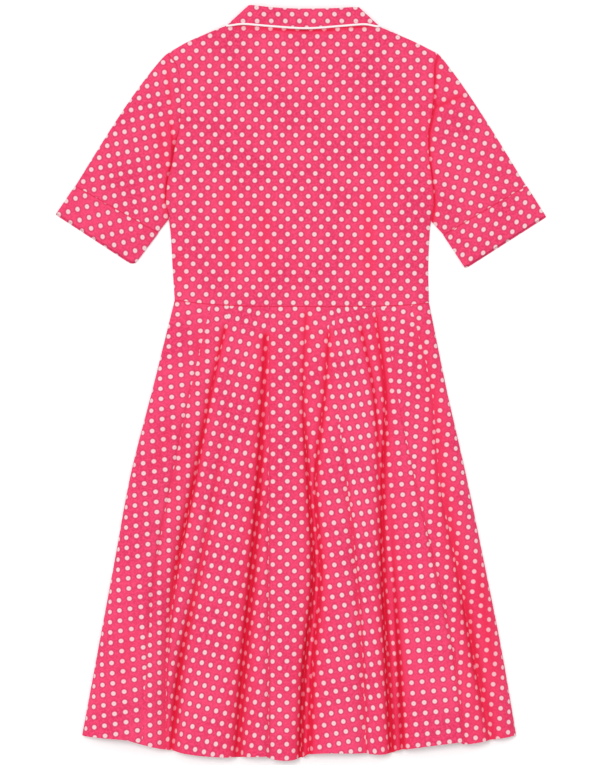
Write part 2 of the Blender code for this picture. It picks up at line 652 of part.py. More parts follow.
def skirt_front(material, collection):
    """Plain panel of the same outline, flat on the surface."""
    columns = [[a + (b - a) * step / FRONT_COLUMNS for a, b in zip(SKIRT_LEFT, SKIRT_RIGHT)]
               for step in range(FRONT_COLUMNS + 1)]
    plan = skirt_plan(columns, FRONT_ROWS)[0]
    return cloth("skirt_front", lift(plan, 0.0), material, collection)


# ---- the dress -------------------------------------------------------------------------

def build():
    clear_scene()
    dress = bpy.data.collections.new("shirt_dress")
    bpy.context.scene.collection.children.link(dress)
    cotton = make_material("pink_cotton", *PINK_COTTON)
    white = make_material("white_piping", *WHITE_PIPING)
    shell = make_material("button_shell", *BUTTON_SHELL)
    back_bodice(cotton, dress)
    for side in ("left", "right"):
        front_bodice(side, cotton, dress)
        sleeve(side, cotton, dress)
        cuff(side, cotton, dress)
    buttons(shell, dress)
    collar(cotton, dress)
    piping(white, dress)
    skirt_back(cotton, dress)
    skirt_front(cotton, dress)


build()
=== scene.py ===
"""Looks of a short-sleeved shirt dress in dotted cotton that lies flat on its front.

Every cloth piece is a grid of points worked out from two parameters. Sizes in the tables are in
millimetres, with +Y towards the collar and +Z up, and MM turns them into metres.
"""

import json
import math

import bpy
import numpy as np
from bpy.props import FloatProperty, FloatVectorProperty, PointerProperty
from bpy.types import Operator, Panel, PropertyGroup
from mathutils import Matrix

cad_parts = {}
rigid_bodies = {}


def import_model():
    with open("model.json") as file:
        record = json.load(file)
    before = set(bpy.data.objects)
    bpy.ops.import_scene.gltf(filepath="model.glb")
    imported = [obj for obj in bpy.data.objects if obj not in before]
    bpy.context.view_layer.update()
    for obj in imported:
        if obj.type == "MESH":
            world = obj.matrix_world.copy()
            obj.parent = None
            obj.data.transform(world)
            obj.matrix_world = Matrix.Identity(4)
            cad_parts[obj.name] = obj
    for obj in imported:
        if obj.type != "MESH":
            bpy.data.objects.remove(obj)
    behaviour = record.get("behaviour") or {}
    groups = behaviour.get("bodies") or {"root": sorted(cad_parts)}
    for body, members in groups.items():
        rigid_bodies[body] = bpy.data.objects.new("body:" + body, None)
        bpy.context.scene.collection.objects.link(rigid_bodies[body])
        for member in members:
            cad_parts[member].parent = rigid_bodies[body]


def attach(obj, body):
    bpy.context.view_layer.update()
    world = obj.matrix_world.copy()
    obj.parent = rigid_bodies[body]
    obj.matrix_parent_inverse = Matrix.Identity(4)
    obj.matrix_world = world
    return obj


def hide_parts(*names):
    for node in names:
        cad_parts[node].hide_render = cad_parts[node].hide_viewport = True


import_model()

bl_info = {
    "name": "Laid shirt dress",
    "version": (1, 0, 0),
    "blender": (4, 5, 0),
    "location": "View3D > Sidebar > Dress",
    "description": "Cloth, piping, buttons and stitching of a dotted cotton dress laid flat",
    "category": "Object",
}

MM = 0.001
OUTWARD = {"left": -1, "right": 1}  # the way along X in which each side of the dress lies
SIDES = tuple(OUTWARD)
SEAM_GAP = 0.05            # clearance between two pieces that are sewn together
TUCK = 0.8                 # how far cloth reaches under the edge that it is sewn to
TUCK_DROP = 0.62           # how far it lies below that edge
TUCK_RISE = 4.0            # length over which it comes up again
CUFF_TUCK_DROP = 0.3       # the same drop under the cuff, which stands higher
SEAM_REACH = 8.0           # distance over which the closeness to a seam falls to nothing
SEAM_LINE = (0.3, 1.3)     # distances from a seam over which its painted shadow line fades out
HAIR_GAP = 0.2             # clearance between back and front where they meet
MARKS = ("crease", "seam")  # what the points of a cloth carry for its finish: strength of painted shade in creases, and closeness to a seam for its painted shadow

# ---- outline of the bodice, as (x, y) ---------------------------------------------------

CENTRE = 3.0               # x of the middle line
WAIST_LINE = [(-186, 122), (-142, 117), (-95, 114), (-45, 113), (5, 113), (80, 113),
              (131, 114), (176, 116.5), (190, 118)]
SIDE = {"left": [(-186, 122), (-189, 167), (-192, 220), (-195, 243)],
        "right": [(190, 118), (189, 167), (191, 220), (193, 240)]}
ARMHOLE = {"left": [(-195, 243), (-199, 268), (-197, 295), (-190, 324), (-185, 352),
                    (-178, 384), (-177, 425), (-182, 466), (-197, 487)],
           "right": [(193, 240), (197, 268), (195, 297), (190, 334), (189, 366), (195, 402),
                     (198, 440), (198, 466), (203, 487)]}
SHOULDER = {"left": [(-197, 487), (-168, 504), (-128, 521), (-88, 536)],
            "right": [(203, 487), (169, 504.5), (130, 521), (98, 534)]}
BACK_NECK = [(-88, 536), (-60, 534), (4, 532), (68, 533), (98, 534)]
FRONT_NECK_Y = 451.0       # y of the front neck at the lap's edge

# ---- heights of the laid bodice ----------------------------------------------------------

BACK_LOFT = 7.6            # over most of the back
WAIST_LOFT = 6.7           # at the waist seam
WAIST_RISE = 40.0          # width over which the back rises from the waist seam
NECK_SIDE_LOFT = 5.9       # where the shoulder meets the collar
SIDE_ROLL = 38.0           # width over which the back rises from its side edges
SHOULDER_ROLL = 18.0       # the same from the shoulders
NECK_ROLL = 45.0           # what the neck's ends add to it, and the width over which that fades
NECK_RISE = 0.4            # share of the neck seam over which the back rises from each end
WAIST_SETTLE = 20.0        # height above the waist seam at which the cloth is fully uneven
UNDERARM_SHARE = 0.1       # share of the armhole over which its seam sets in at the underarm
SEAM_DIP = 0.4             # how far the cloth is drawn down at a seam
SEAM_DIP_WIDTH = 2.0
BACK_GROOVE_SHADE = (0.8, 3.0)   # strength and width of the painted shade along the armholes

# ---- front opening and buttons -----------------------------------------------------------

LAP = 15.0                 # how far each front reaches past the centre
LAP_MARGIN = 2.0           # width beside the lap that is lifted with it
LAP_OVERRUN = 1.0          # how far beyond that margin the lift is still full
LAP_SLOPE = 14.0           # width over which it then falls off
BUTTON_RADIUS = 5.75
BUTTON_THICKNESS = 2.0
BUTTON_COUNT = 5
BUTTON_TOP = 437.0
BUTTON_STEP = 76.0
BUTTON_WALL = 1.2          # thickness of each solid front layer
HOLE_OFFSET = 1.25
HOLE_RADIUS = 0.6
HOLE_DEPTH = 0.5
HOLE_SHARPNESS = 6         # power that makes a hole's wall steep
BUTTON_DISH = 0.4          # depth of the dished middle
BUTTON_ROWS = [BUTTON_TOP - number * BUTTON_STEP for number in range(BUTTON_COUNT)]
LAP_LIFT = {"right": BUTTON_THICKNESS + SEAM_GAP,
            "left": BUTTON_THICKNESS + BUTTON_WALL + 2 * SEAM_GAP}

# ---- collar ------------------------------------------------------------------------------

LEAF_LIFT = 2.3            # how far a collar leaf lifts the front that lies on it
LEAF_MARGIN = 22.0         # distance from the leaf within which the lift is full
LEAF_SLOPE = 22.0          # width over which it then falls off
COLLAR_WALL = 1.2
COLLAR_CROWN = 0.5         # how far the fall swells between its fold and its edge
BACK_LAYER = 5.0           # height above which the collar lies on the back
PIPING_ENDS = (0.04, 0.92)  # shares of a leaf's front edge between which the piping runs up
PIPING_END_POINTS = 24
PIPING_SIDES = 12
PIPING_TWILL = (6, 0.4)    # the twill's way once round the piping, and from point to point
# fold (x, y), outer edge (x, y), neck seam (x, y), stand height, fall height
COLLAR = {
    "left_front":  ((-1, 475), (-52, 422), (-1, 452), 4.4, 0.6),
    "left_side":   ((-72.5, 558), (-104, 529), (-87, 538), 2.9, 0.6),
    "left_back":   ((-72.5, 558), (-104, 529), (-87, 538), 5.3, 8.1),
    "mid_left_end": ((-60, 556.5), (-83, 531.5), (-70, 536.5), 5.9, 8.8),
    "mid_left":    ((-36, 554), (-45, 528.8), (-42, 534), 6.6, 9.3),
    "mid_back":    ((4, 552.5), (8, 525.6), (5, 533), 7.0, 9.5),
    "mid_right":   ((45, 553), (60, 528.8), (52, 534), 6.6, 9.3),
    "mid_right_end": ((69, 554.3), (92, 531), (80, 535.5), 5.9, 8.8),
    "right_back":  ((82.5, 555), (111.5, 528), (97, 536), 5.3, 8.1),
    "right_side":  ((82.5, 555), (111.5, 528), (97, 536), 2.9, 0.6),
    "right_front": ((7, 475), (60, 421), (7, 452), 2.9, 0.6),
}
COLLAR_STEPS = {"front": 26, "turn": 10, "back": 18}
STAND_STEPS = 7
FOLD_STEPS = 8
FALL_STEPS = 14

# ---- sleeves -----------------------------------------------------------------------------

# side: cuff seam at the outer and inner fold, cuff edge at the outer and inner fold
SLEEVES = {"left": ((-333, 291), (-211, 222), (-360, 251), (-245, 177)),
           "right": ((334, 291), (212, 219), (361.5, 247.5), (243, 172))}
# how far each sleeve's outer fold bows out from a straight line
SLEEVE_BULGE = {"left": 6.0, "right": 4.5}
BULGE_LEAN = 0.7           # below 1 the bow is fullest nearer the shoulder
TUBE_EDGE = 3.2            # height of a sleeve at its folds
SLEEVE_LOFT = 6.5          # how much higher it lies between them
TUBE_ROLL = 30.0           # width over which it rises from a fold
ARMHOLE_ROLL = 16.0        # and from the armhole seam
ARMHOLE_LENGTH = 250.0     # of the seam, for its height
SEAM_LOFT_SHARE = 0.6      # share of the loft at the armhole seam
GROOVE_DEPTH = 1.0         # of the groove beside the armhole seam
GROOVE_SHADE = 1.3         # strength of the painted shade in the groove
GROOVE_PLACE = 2.5         # distance of the groove from the armhole seam
GROOVE_SLOPES = (4.0, 6.0)  # widths of its slopes, towards the armhole and away from it
# strength of the groove, in its depth and its painted shade, beside each armhole at six places from
# the underarm to the shoulder
ARMHOLE_GROOVE = {"left": [0.5, 0.85, 0.8, 0.2, 0.0, 0.0], "right": [0.8, 0.9, 0.9, 0.9, 0.9, 0.7]}
CUFF_LOFT_SHARE = 0.45     # share of the loft at the cuff seam
CUFF_PROUD = 0.8           # how far the cuff stands out from the sleeve
CUFF_EDGE_DIP = 0.5        # share of a seam's dip at the cuff's open edge
CUFF_SETTLE = 0.8          # share of its loft that the cuff loses at its open end
CUFF_UNDERLAP = 3.0        # how much further its lower layer reaches at that end
CORNER_WIDTH = 8.0         # width of the cut-off corner at the cuff's inner fold
CORNER_DEPTH = {"left": 3.5, "right": 0.5}
SHOULDER_CLEARANCE = 0.7   # gap between sleeve and body at the shoulder

# ---- skirt -------------------------------------------------------------------------------

# fractions of the skirt's length at which these lists give x of its edges, the height between
# its folds, and the width over which it rises from its edges
STATIONS = [0.0, 0.2, 0.4, 0.6, 0.8, 1.0]
SKIRT_LEFT = [-186, -218, -251, -275, -299, -323]
SKIRT_RIGHT = [190, 216, 245, 271.5, 297, 319]
HEM_LINE = [(-323, -521), (-291, -523.5), (-259, -526), (-233, -533), (-199, -541),
            (-146, -549.5), (-103, -552), (-50, -550.5), (-47, -553), (-20, -556.5),
            (2, -553), (13, -547.5), (41, -545.5), (80, -546), (95, -546), (115, -547.5),
            (137, -546), (141, -543), (180, -536.5), (223, -531), (236, -529.5), (239, -532.5),
            (267, -529), (319, -520.5)]
CROWN = [6.7, 13.0, 18.5, 22.0, 24.5, 26.0]
EDGE_ROLL = [14, 22, 30, 38, 46, 52]
FOLD_FLOOR = 3.3           # height of the back where it is sunk all the way
FOLD_WIDTH_AT_WAIST = 0.55  # width of a fold at the waist as a share of its width at the hem
DEEPEST_SHARE = 0.97       # most of the height above that floor that any fold takes away
FOLD_DEPTH = 1.06          # factor on how far all the folds are sunk
CREASE_SHARE = 0.85        # part of a fold's depth that its narrow crease takes
CREASE_WIDTH = 0.65        # width of the crease as a share of the fold's
HOLLOW_WIDTH = 1.5         # width of the hollow round it
COLUMN_WIDTH = 2.75        # mean width of a column of the skirt's mesh
FEWEST_COLUMNS = 4         # between two fold lines
EVEN_SHARE = 0.25          # 1 spaces the columns evenly, and 0 crowds them at the fold lines
SIDE_TUCK = 0.2            # share of the tuck's drop that is left at the side edges
FRONT_STEPS = (160, 60)    # mesh steps of the front, across it and down it
SKIRT_ROWS = 184           # mesh steps of the back from the waist to the hem
GATHER = 14.0              # length below the waist seam over which the folds set in
# x at the six stations, share sunk towards the front at each, strength of the painted shade
# at each, distance of its top below the waist, widths of its slopes, and of the painted shade
FOLDS = {
    "a_outer": dict(x=[-132, -163, -190, -214, -226, -234], share=[0.0, 0.25, 0.3, 0.3, 0.15, 0.1],
                    shade=[0.0, 0.2, 0.25, 0.15, 0.1, 0.0], top=20, left=7, right=6, band=5),
    "a": dict(x=[-104, -133, -157, -183, -197, -198], share=[0.8, 0.8, 0.85, 0.75, 0.45, 0.4],
              shade=[1.0, 0.95, 1.0, 0.9, 0.3, 0.5], top=22, left=15, right=4.5, band=10),
    "a_inner": dict(x=[-96, -105, -125, -150, -177, -190], share=[0.0, 0.2, 0.4, 0.65, 0.8, 0.8],
                    shade=[0.0, 0.1, 0.35, 0.7, 1.0, 0.85], top=50, left=11, right=14, band=9),
    "b": dict(x=[-50, -55.5, -62.5, -72.5, -84.5, -93.5],
              share=[0.9, 0.85, 0.88, 0.88, 0.88, 0.85],
              shade=[1.0, 1.0, 1.0, 1.0, 0.95, 0.85], top=32, left=11, right=14, band=17),
    "centre_left": dict(x=[-47, -47, -47, -47, -47, -47], share=[0.2, 0.2, 0.25, 0.3, 0.3, 0.3],
                        shade=[0.1, 0.25, 0.3, 0.25, 0.2, 0.2], top=30, left=6, right=4, band=3),
    "c": dict(x=[9, 4, 12, 19, 6, 0], share=[0.5, 0.7, 0.8, 0.9, 0.92, 0.9],
              shade=[0.8, 0.85, 0.95, 1.0, 1.0, 0.95], top=0, left=9, right=9, band=13),
    "c_branch": dict(x=[44, 35, 22, 29, 18, 12], share=[0.6, 0.6, 0.6, 0.5, 0.5, 0.4],
                     shade=[0.9, 0.9, 0.9, 0.95, 1.0, 1.0], top=28, left=8, right=9, band=13),
    "d": dict(x=[50, 54, 69, 83, 92, 97], share=[0.0, 0.15, 0.35, 0.4, 0.4, 0.4],
              shade=[0.0, 0.1, 0.35, 0.4, 0.4, 0.35], top=60, left=17, right=5, band=6),
    "e": dict(x=[83, 109, 116, 116, 121, 129], share=[0.6, 0.65, 0.5, 0.1, 0.0, 0.0],
              shade=[1.0, 1.0, 0.7, 0.0, 0.0, 0.0], top=22, left=8, right=6, band=9),
    "f": dict(x=[109, 125, 121, 122, 128, 135], share=[0.6, 0.8, 0.88, 0.92, 0.92, 0.9],
              shade=[0.9, 1.0, 1.0, 1.0, 1.0, 0.95], top=4, left=9, right=12, band=14),
    "f_second": dict(x=[121, 137, 133, 138, 145, 150], share=[0.0, 0.0, 0.1, 0.35, 0.6, 0.6],
                     shade=[0.0, 0.0, 0.3, 0.8, 1.0, 0.95], top=0, left=5, right=6, band=12),
    "g": dict(x=[124, 143, 169, 199, 226, 242], share=[0.05, 0.12, 0.2, 0.25, 0.25, 0.2],
              shade=[0.4, 0.2, 0.15, 0.3, 0.3, 0.25], top=8, left=5, right=5, band=5),
    "h": dict(x=[163, 194, 205, 231, 255, 281], share=[0.1, 0.5, 0.5, 0.65, 0.75, 0.7],
              shade=[0.1, 0.6, 0.65, 0.75, 0.85, 0.65], top=12, left=10, right=18, band=23),
}
# Stretches of the skirt over which the print runs on unbroken: first line and last line
SKIRT_STRIPS = [("left", "a_outer"), ("a_outer", "a"), ("a", "centre_left"), ("centre_left", "c"),
                ("c", "c_branch"), ("c_branch", "d"), ("d", "f"), ("f", "g"), ("g", "h"),
                ("h", "right")]
# Stretches of the hem, as x from and to, where the front's edge shows below the back's
FRONT_SHOWS = [(-260, -200), (-190, -50), (14, 75), (100, 138), (145, 236), (243, 285)]
FRONT_DROP = 1.8           # how far the hem is drawn down there
SHOW_SLOPE = 10.0          # width over which each stretch sets in
SHOW_SHARE = 0.05          # share of the front's length that is drawn down

# ---- creases -----------------------------------------------------------------------------

# Straight creases that fade at both ends: from (x, y), to (x, y), depth, width, strength of
# the painted shade
BACK_DRAPES = [((-108, 320), (-100, 130), 1.8, 13, 0.6), ((-52, 290), (-50, 125), 1.4, 12, 0.5),
               ((-5, 205), (-8, 120), 0.8, 10, 0.2), ((97, 310), (104, 120), 1.8, 13, 0.6),
               ((136, 462), (133, 255), 1.5, 13, 0.55), ((-181, 205), (-170, 135), 0.9, 9, 0.3),
               # the last three rows have no depth: they are the painted shadow below the collar's
               # piping
               ((180, 425), (172, 325), 1.4, 8, 0.3), ((-128, 529), (20, 519.5), 0.0, 4, 1.0),
               ((-50, 520.5), (64, 520.5), 0.0, 4, 0.8), ((-10, 519.5), (134, 528.5), 0.0, 4, 1.0)]
# in the skirt's rows, those of depth 0 are painted shade only, as over its darker lower right
SKIRT_DRAPES = [((140, -215), (172, -350), 4.5, 10, 0.35), ((-186, -45), (-224, -145), 3.0, 11, 0.3),
                ((-149, 95), (-155, 30), 1.5, 8, 0.3), ((-132, 105), (-162, -40), 2.0, 8, 0.25),
                ((-158, -10), (-194, -225), 3.0, 9, 0.3), ((163, -240), (170, -340), 0.0, 8, 0.3),
                ((250, -200), (296, -500), 0.0, 26, 0.75), ((-250, -330), (-264, -480), 2.5, 12, 0.2)]
SLEEVE_DRAPES = {
    "left": [((-199, 486), (-192, 392), 1.6, 4.5, 0.7), ((-194, 410), (-187, 322), 2.0, 5.5, 0.8),
             ((-210, 400), (-195, 288), 1.2, 13, 0.5)],
    "right": [((188, 402), (256, 434), 1.6, 6.5, 0.9), ((203, 470), (236, 425), 0.8, 8, 0.3)],
}
CREASE_SHADE_WIDTH = 0.8   # width of the painted shade as a share of a crease's width
CREASE_FADES = 3           # at each end a crease fades over its length divided by this
# height of each piece's gentle unevenness, length of its waves, and seed
RUMPLES = {"back": (0.35, 60, 3), "sleeve": (0.3, 55, 5), "skirt": (0.5, 50, 7)}
RUMPLE_WAVES = 14
RUMPLE_LENGTHS = (0.7, 1.8)  # shortest and longest wave as a share of the given length
RUMPLE_PEAK = 1.6          # the waves' sum over the root of their number seldom passes this

# ---- how the print lies ------------------------------------------------------------------

# Three dots on each panel that fix how the print lies there, as x, y, and the half repeats
# from the first dot to this one, across the print and along it
PRINT_DOTS = {
    "bodice":         [(-126, 367, 0, 0), (112, 365, 24, 0), (-9, 231, 12, -12)],
    "collar":         [(-54, 544.5, 0, 0), (71, 544.5, 12, 0), (-64, 534.5, -1, -1)],
    "sleeve_left":    [(-297.5, 333, 0, 0), (-214, 350, 6, 6), (-257, 250, 8, -4)],
    "sleeve_right":   [(202, 312, 0, 0), (301, 283, 7, -7), (261.5, 373, 8, 2)],
    "cuff_left":      [(-247.5, 211.5, 0, 0), (-219.5, 219, 2, 2), (-244.5, 195.5, 1, -1)],
    "cuff_right":     [(240, 224, 0, 0), (332, 266.5, 10, 0), (258, 198, 1, -3)],
    "left-a_outer":   [(-245.5, -151, 0, 0), (-214.5, -145.5, 2, 2), (-223, -267.5, 9, -7)],
    "a_outer-a":      [(-180, -81.5, 0, 0), (-166, -78, 1, 1), (-180, -184.5, 7, -7)],
    "a-centre_left":  [(-132.5, -89.5, 0, 0), (-69, -107, 5, 5), (-169.5, -289, 14, -12)],
    "centre_left-c":  [(-40.5, -64, 0, 0), (-8.5, -73.5, 3, -1), (-41, -288, 0, -22)],
    "c-c_branch":     [(13, 48, 0, 0), (33.5, 41.5, 2, 0), (15.5, -40, 2, -8)],
    "c_branch-d":     [(52, -454, 0, 0), (80, -448.5, 2, 2), (70.5, -528, 5, -5)],
    "d-f":            [(67.5, -100, 0, 0), (104.5, -93, 3, 3), (111.5, -284.5, 12, -12)],
    "f-g":            [(163.5, -441.5, 0, 0), (210, -436.5, 3, 3), (152.5, -334.5, -7, 7)],
    "g-h":            [(168, -108.5, 0, 0), (182, -112.5, 1, 1), (213, -315.5, 17, -9)],
    "h-right":        [(246.5, -227.5, 0, 0), (288, -399.5, 14, -6), (241.5, -302, 5, -5)],
}

# ---- sewn pieces -------------------------------------------------------------------------

# solid that it stands for, width and length of its cut in metres, flat area in square metres,
# and what it rests on
SHEETS = {
    "back_panel": ("back_bodice", 0.400, 0.423, 0.155, ["front_panel_left", "front_panel_right"]),
    "front_panel_left": ("front_bodice_left", 0.212, 0.423, 0.079, ["floor"]),
    "front_panel_right": ("front_bodice_right", 0.212, 0.423, 0.079, ["floor"]),
    "sleeve_cloth_left": ("sleeve_left", 0.290, 0.240, 0.0425, ["floor"]),
    "sleeve_cloth_right": ("sleeve_right", 0.290, 0.240, 0.0407, ["floor"]),
    "cuff_cloth_left": ("cuff_left", 0.290, 0.062, 0.0150, ["floor"]),
    "cuff_cloth_right": ("cuff_right", 0.290, 0.062, 0.0150, ["floor"]),
    "collar_cloth": ("collar", 0.520, 0.075, 0.0270, ["back_panel"]),
    "skirt_back_cloth": ("skirt_back", 0.680, 0.680, 0.420, ["skirt_front_cloth"]),
    "skirt_front_cloth": ("skirt_front", 0.645, 0.680, 0.342, ["floor"]),
}


# ==== curves and surfaces =================================================================

def eased(knots, values, at):
    """Cubic through values at the knots that never swings past them, read at the places at."""
    knots, values = np.array(knots, float), np.array(values, float)
    secant = np.diff(values) / np.diff(knots)
    before, after = secant[:-1], secant[1:]
    agree = before * after > 0
    inner = np.where(agree, 2 * before * after / np.where(agree, before + after, 1.0), 0.0)
    return hermite(knots, values, np.concatenate([secant[:1], inner, secant[-1:]]), at)


def hermite(knots, values, slopes, at):
    """Cubic pieces with the given values and slopes at the knots, read at the places at."""
    right = np.clip(np.searchsorted(knots, at, side="right"), 1, len(knots) - 1)
    left = right - 1
    span = knots[right] - knots[left]
    t = (at - knots[left]) / span
    return ((2 * t**3 - 3 * t**2 + 1) * values[left] + (t**3 - 2 * t**2 + t) * span * slopes[left]
            + (3 * t**2 - 2 * t**3) * values[right] + (t**3 - t**2) * span * slopes[right])


def at_stations(values, at):
    """Smooth curve through values given at the skirt's six stations."""
    knots, values = np.array(STATIONS), np.array(values, float)
    return hermite(knots, values, np.gradient(values, knots), at)


def unit(vectors):
    """Vectors of length 1 in the directions of these."""
    return vectors / np.linalg.norm(vectors, axis=-1, keepdims=True)


def travelled(line):
    """Length of a line up to each of its points."""
    steps = np.linalg.norm(np.diff(line, axis=0), axis=1)
    return np.concatenate([[0.0], np.cumsum(steps)])


def along(points, steps):
    """steps + 1 points spaced evenly by length on a smooth line through points."""
    points = np.array(points, float)
    places = travelled(points)
    wanted = np.linspace(0.0, places[-1], steps + 1)
    if len(points) == 2:
        return np.stack([np.interp(wanted, places, points[:, k]) for k in (0, 1)], axis=1)
    return np.stack([eased(places, points[:, k], wanted) for k in (0, 1)], axis=1)


def chain(*stretches):
    """Joins lines end to end, dropping the point that each shares with the one before."""
    return np.concatenate([stretches[0]] + [line[1:] for line in stretches[1:]])


def patch(bottom, top, left, right):
    """Coons patch between four edge lines: the blend across plus the blend up, less corners."""
    u = np.linspace(0, 1, len(bottom))[:, None, None]
    v = np.linspace(0, 1, len(left))[None, :, None]
    across = (1 - v) * bottom[:, None] + v * top[:, None]
    upward = (1 - u) * left[None, :] + u * right[None, :]
    corners = ((1 - u) * (1 - v) * bottom[0] + u * (1 - v) * bottom[-1]
               + (1 - u) * v * top[0] + u * v * top[-1])
    return across + upward - corners


def smooth_step(t):
    """0 below 0, 1 above 1, and a soft S between."""
    t = np.clip(t, 0, 1)
    return t * t * (3 - 2 * t)


def roll(distance, width):
    """Quarter of an ellipse: 0 at an edge, 1 at width and beyond."""
    return np.sqrt(1 - (1 - np.clip(distance / width, 0, 1)) ** 2)


def trough(distance, left, right):
    """Soft valley of height 1 on its line, with a slope of its own width on each side."""
    reach = np.where(distance < 0, left, right)
    return (1 + (distance / reach) ** 2) ** -1.5


def valley(distance, left, right):
    """Narrow crease inside a broad shallow hollow, as cloth falls into between two ridges."""
    crease = trough(distance, left * CREASE_WIDTH, right * CREASE_WIDTH)
    return CREASE_SHARE * crease + (1 - CREASE_SHARE) * trough(distance, left * HOLLOW_WIDTH,
                                                              right * HOLLOW_WIDTH)


def drapes(x, y, table):
    """Summed depth and shade at x, y of straight creases that fade in and out on their lines."""
    depth, shade = np.zeros_like(x), np.zeros_like(x)
    for start, end, deep, width, strength in table:
        run = np.subtract(end, start)
        length = math.hypot(*run)
        run = run / length
        forward = (x - start[0]) * run[0] + (y - start[1]) * run[1]
        aside = (x - start[0]) * run[1] - (y - start[1]) * run[0]
        fade = (smooth_step(forward / length * CREASE_FADES)
                * smooth_step((1 - forward / length) * CREASE_FADES))
        depth += deep * fade * trough(aside, width, width)
        # painted shade along the crease
        band = width * CREASE_SHADE_WIDTH
        shade += strength * fade * trough(aside, band, band)
    return depth, shade


def rumple(x, y, piece):
    """Gentle unevenness of a piece: the scaled sum of waves that run in random directions."""
    height, size, seed = RUMPLES[piece]
    rng = np.random.default_rng(seed)
    total = np.zeros_like(x)
    for _ in range(RUMPLE_WAVES):
        heading = rng.uniform(0, math.pi)
        number = 2 * math.pi / (size * rng.uniform(*RUMPLE_LENGTHS))
        start = rng.uniform(0, 2 * math.pi)
        total += np.cos(number * (x * math.cos(heading) + y * math.sin(heading)) + start)
    return height * (total / math.sqrt(RUMPLE_WAVES) / RUMPLE_PEAK)


def tuck(distance, drop):
    """Depth of cloth below the edge that it is tucked under, at this distance from the edge."""
    return drop * (1 - smooth_step(distance / TUCK_RISE))


def lift(plan, height):
    """Adds a height to each point of a plan."""
    return np.concatenate([plan, np.broadcast_to(height, plan.shape[:-1])[..., None]], axis=-1)


def marked(shade, *seams):
    """The marks of a cloth's points: the shade, and the closeness to the nearest of the seams.

    The closeness is 1 on a seam, falls evenly to 0 at SEAM_REACH, and is more than 1 where
    the cloth is tucked under the seam.
    """
    nearest = np.minimum.reduce([np.broadcast_to(seam, shade.shape) for seam in seams])
    return np.stack([np.clip(shade, 0, 1), np.maximum(1 - nearest / SEAM_REACH, 0)], axis=-1)


def seam_dip(distance):
    """Depth by which cloth is drawn down at this distance from a seam."""
    return SEAM_DIP * (1 - smooth_step(distance / SEAM_DIP_WIDTH))


# ==== print ===============================================================================

def laid_print(points, name, flat=None):
    """Print coordinates of a panel's points, in repeats, and the size of a repeat in metres.

    Each of the panel's three dots is found on the flattened panel. A point's offset from the
    first dot is a share of the way to the second and a share of the way to the third, and
    each way is worth its half repeats. That is one 2 by 2 matrix for the whole panel.
    """
    flat = points[..., :2] if flat is None else flat
    places, counts = [], []
    for x, y, across, along_print in PRINT_DOTS[name]:
        away = np.hypot(points[..., 0] - x, points[..., 1] - y)
        nearest = np.unravel_index(away.argmin(), away.shape)
        places.append(flat[nearest] + (x, y) - points[nearest][:2])
        counts.append((across, along_print))
    ways = np.array(places[1:]) - places[0]
    to_repeats = np.linalg.solve(ways, np.array(counts[1:]) / 2)
    scale = bpy.context.scene.dress_print.scale
    repeat = np.linalg.norm(np.linalg.inv(to_repeats), axis=1) * MM * scale
    lie = (flat - places[0]) @ to_repeats / scale
    return np.concatenate([lie, np.broadcast_to(repeat, lie.shape)], axis=-1)


# ==== meshes ==============================================================================

def link(name, data):
    """New object of a mesh, lamp or camera, in the scene."""
    made = bpy.data.objects.new(name, data)
    bpy.context.scene.collection.objects.link(made)
    return made


def quad_grid(rows, columns, looped, flip):
    """Corner indices of a grid's quads; looped joins the last row to the first."""
    index = np.arange(rows * columns).reshape(rows, columns)
    if looped:
        index = np.concatenate([index, index[:1]])
    corners = [index[:-1, :-1], index[1:, :-1], index[1:, 1:], index[:-1, 1:]]
    if flip:
        corners.reverse()
    return np.stack(corners, axis=-1)


def grid_mesh(name, points, corner_print, looped=False, flip=False, marks=None):
    """Mesh of a grid of points, whose quads carry print coordinates at their corners.

    marks are kept as the attributes crease and seam: the strength of painted shade, and the
    closeness to a seam for its painted shadow. The grid's open edges are sharp, so that a
    wall's narrow rim doesn't darken the face beside it.
    """
    rows, columns = points.shape[:2]
    quads = quad_grid(rows, columns, looped, flip)
    mesh = bpy.data.meshes.new(name)
    mesh.from_pydata((points.reshape(-1, 3) * MM).tolist(), [], quads.reshape(-1, 4).tolist())
    for layer_name, first in (("print", 0), ("repeat", 2)):
        if corner_print.shape[-1] > first:
            layer = mesh.uv_layers.new(name=layer_name)
            values = corner_print[..., first:first + 2]
            layer.data.foreach_set("uv", values.astype(np.float32).ravel())
    if marks is not None:
        for number, mark in enumerate(MARKS):
            layer = mesh.attributes.new(mark, "FLOAT", "POINT")
            layer.data.foreach_set("value", marks[..., number].astype(np.float32).ravel())
    mesh.polygons.foreach_set("use_smooth", np.ones(len(mesh.polygons), bool))
    mesh.update()
    sides = np.empty(len(mesh.loops), np.int32)
    mesh.loops.foreach_get("edge_index", sides)
    open_edge = np.bincount(sides, minlength=len(mesh.edges)) == 1
    mesh.edges.foreach_set("use_edge_sharp", open_edge)
    return mesh


def corner_values(values, looped=False, flip=False):
    """Values at grid points, copied to the corners of the grid's quads."""
    rows, columns = values.shape[:2]
    return values.reshape(-1, values.shape[-1])[quad_grid(rows, columns, looped, flip)]


def dressed(mesh, material, slot, *nodes):
    """A piece with its finish and its body, named for its mesh, in place of the given solids."""
    piece = link(mesh.name, mesh)
    mesh.materials.append(material)
    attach(piece, "root")
    if nodes:
        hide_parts(*nodes)
    return piece


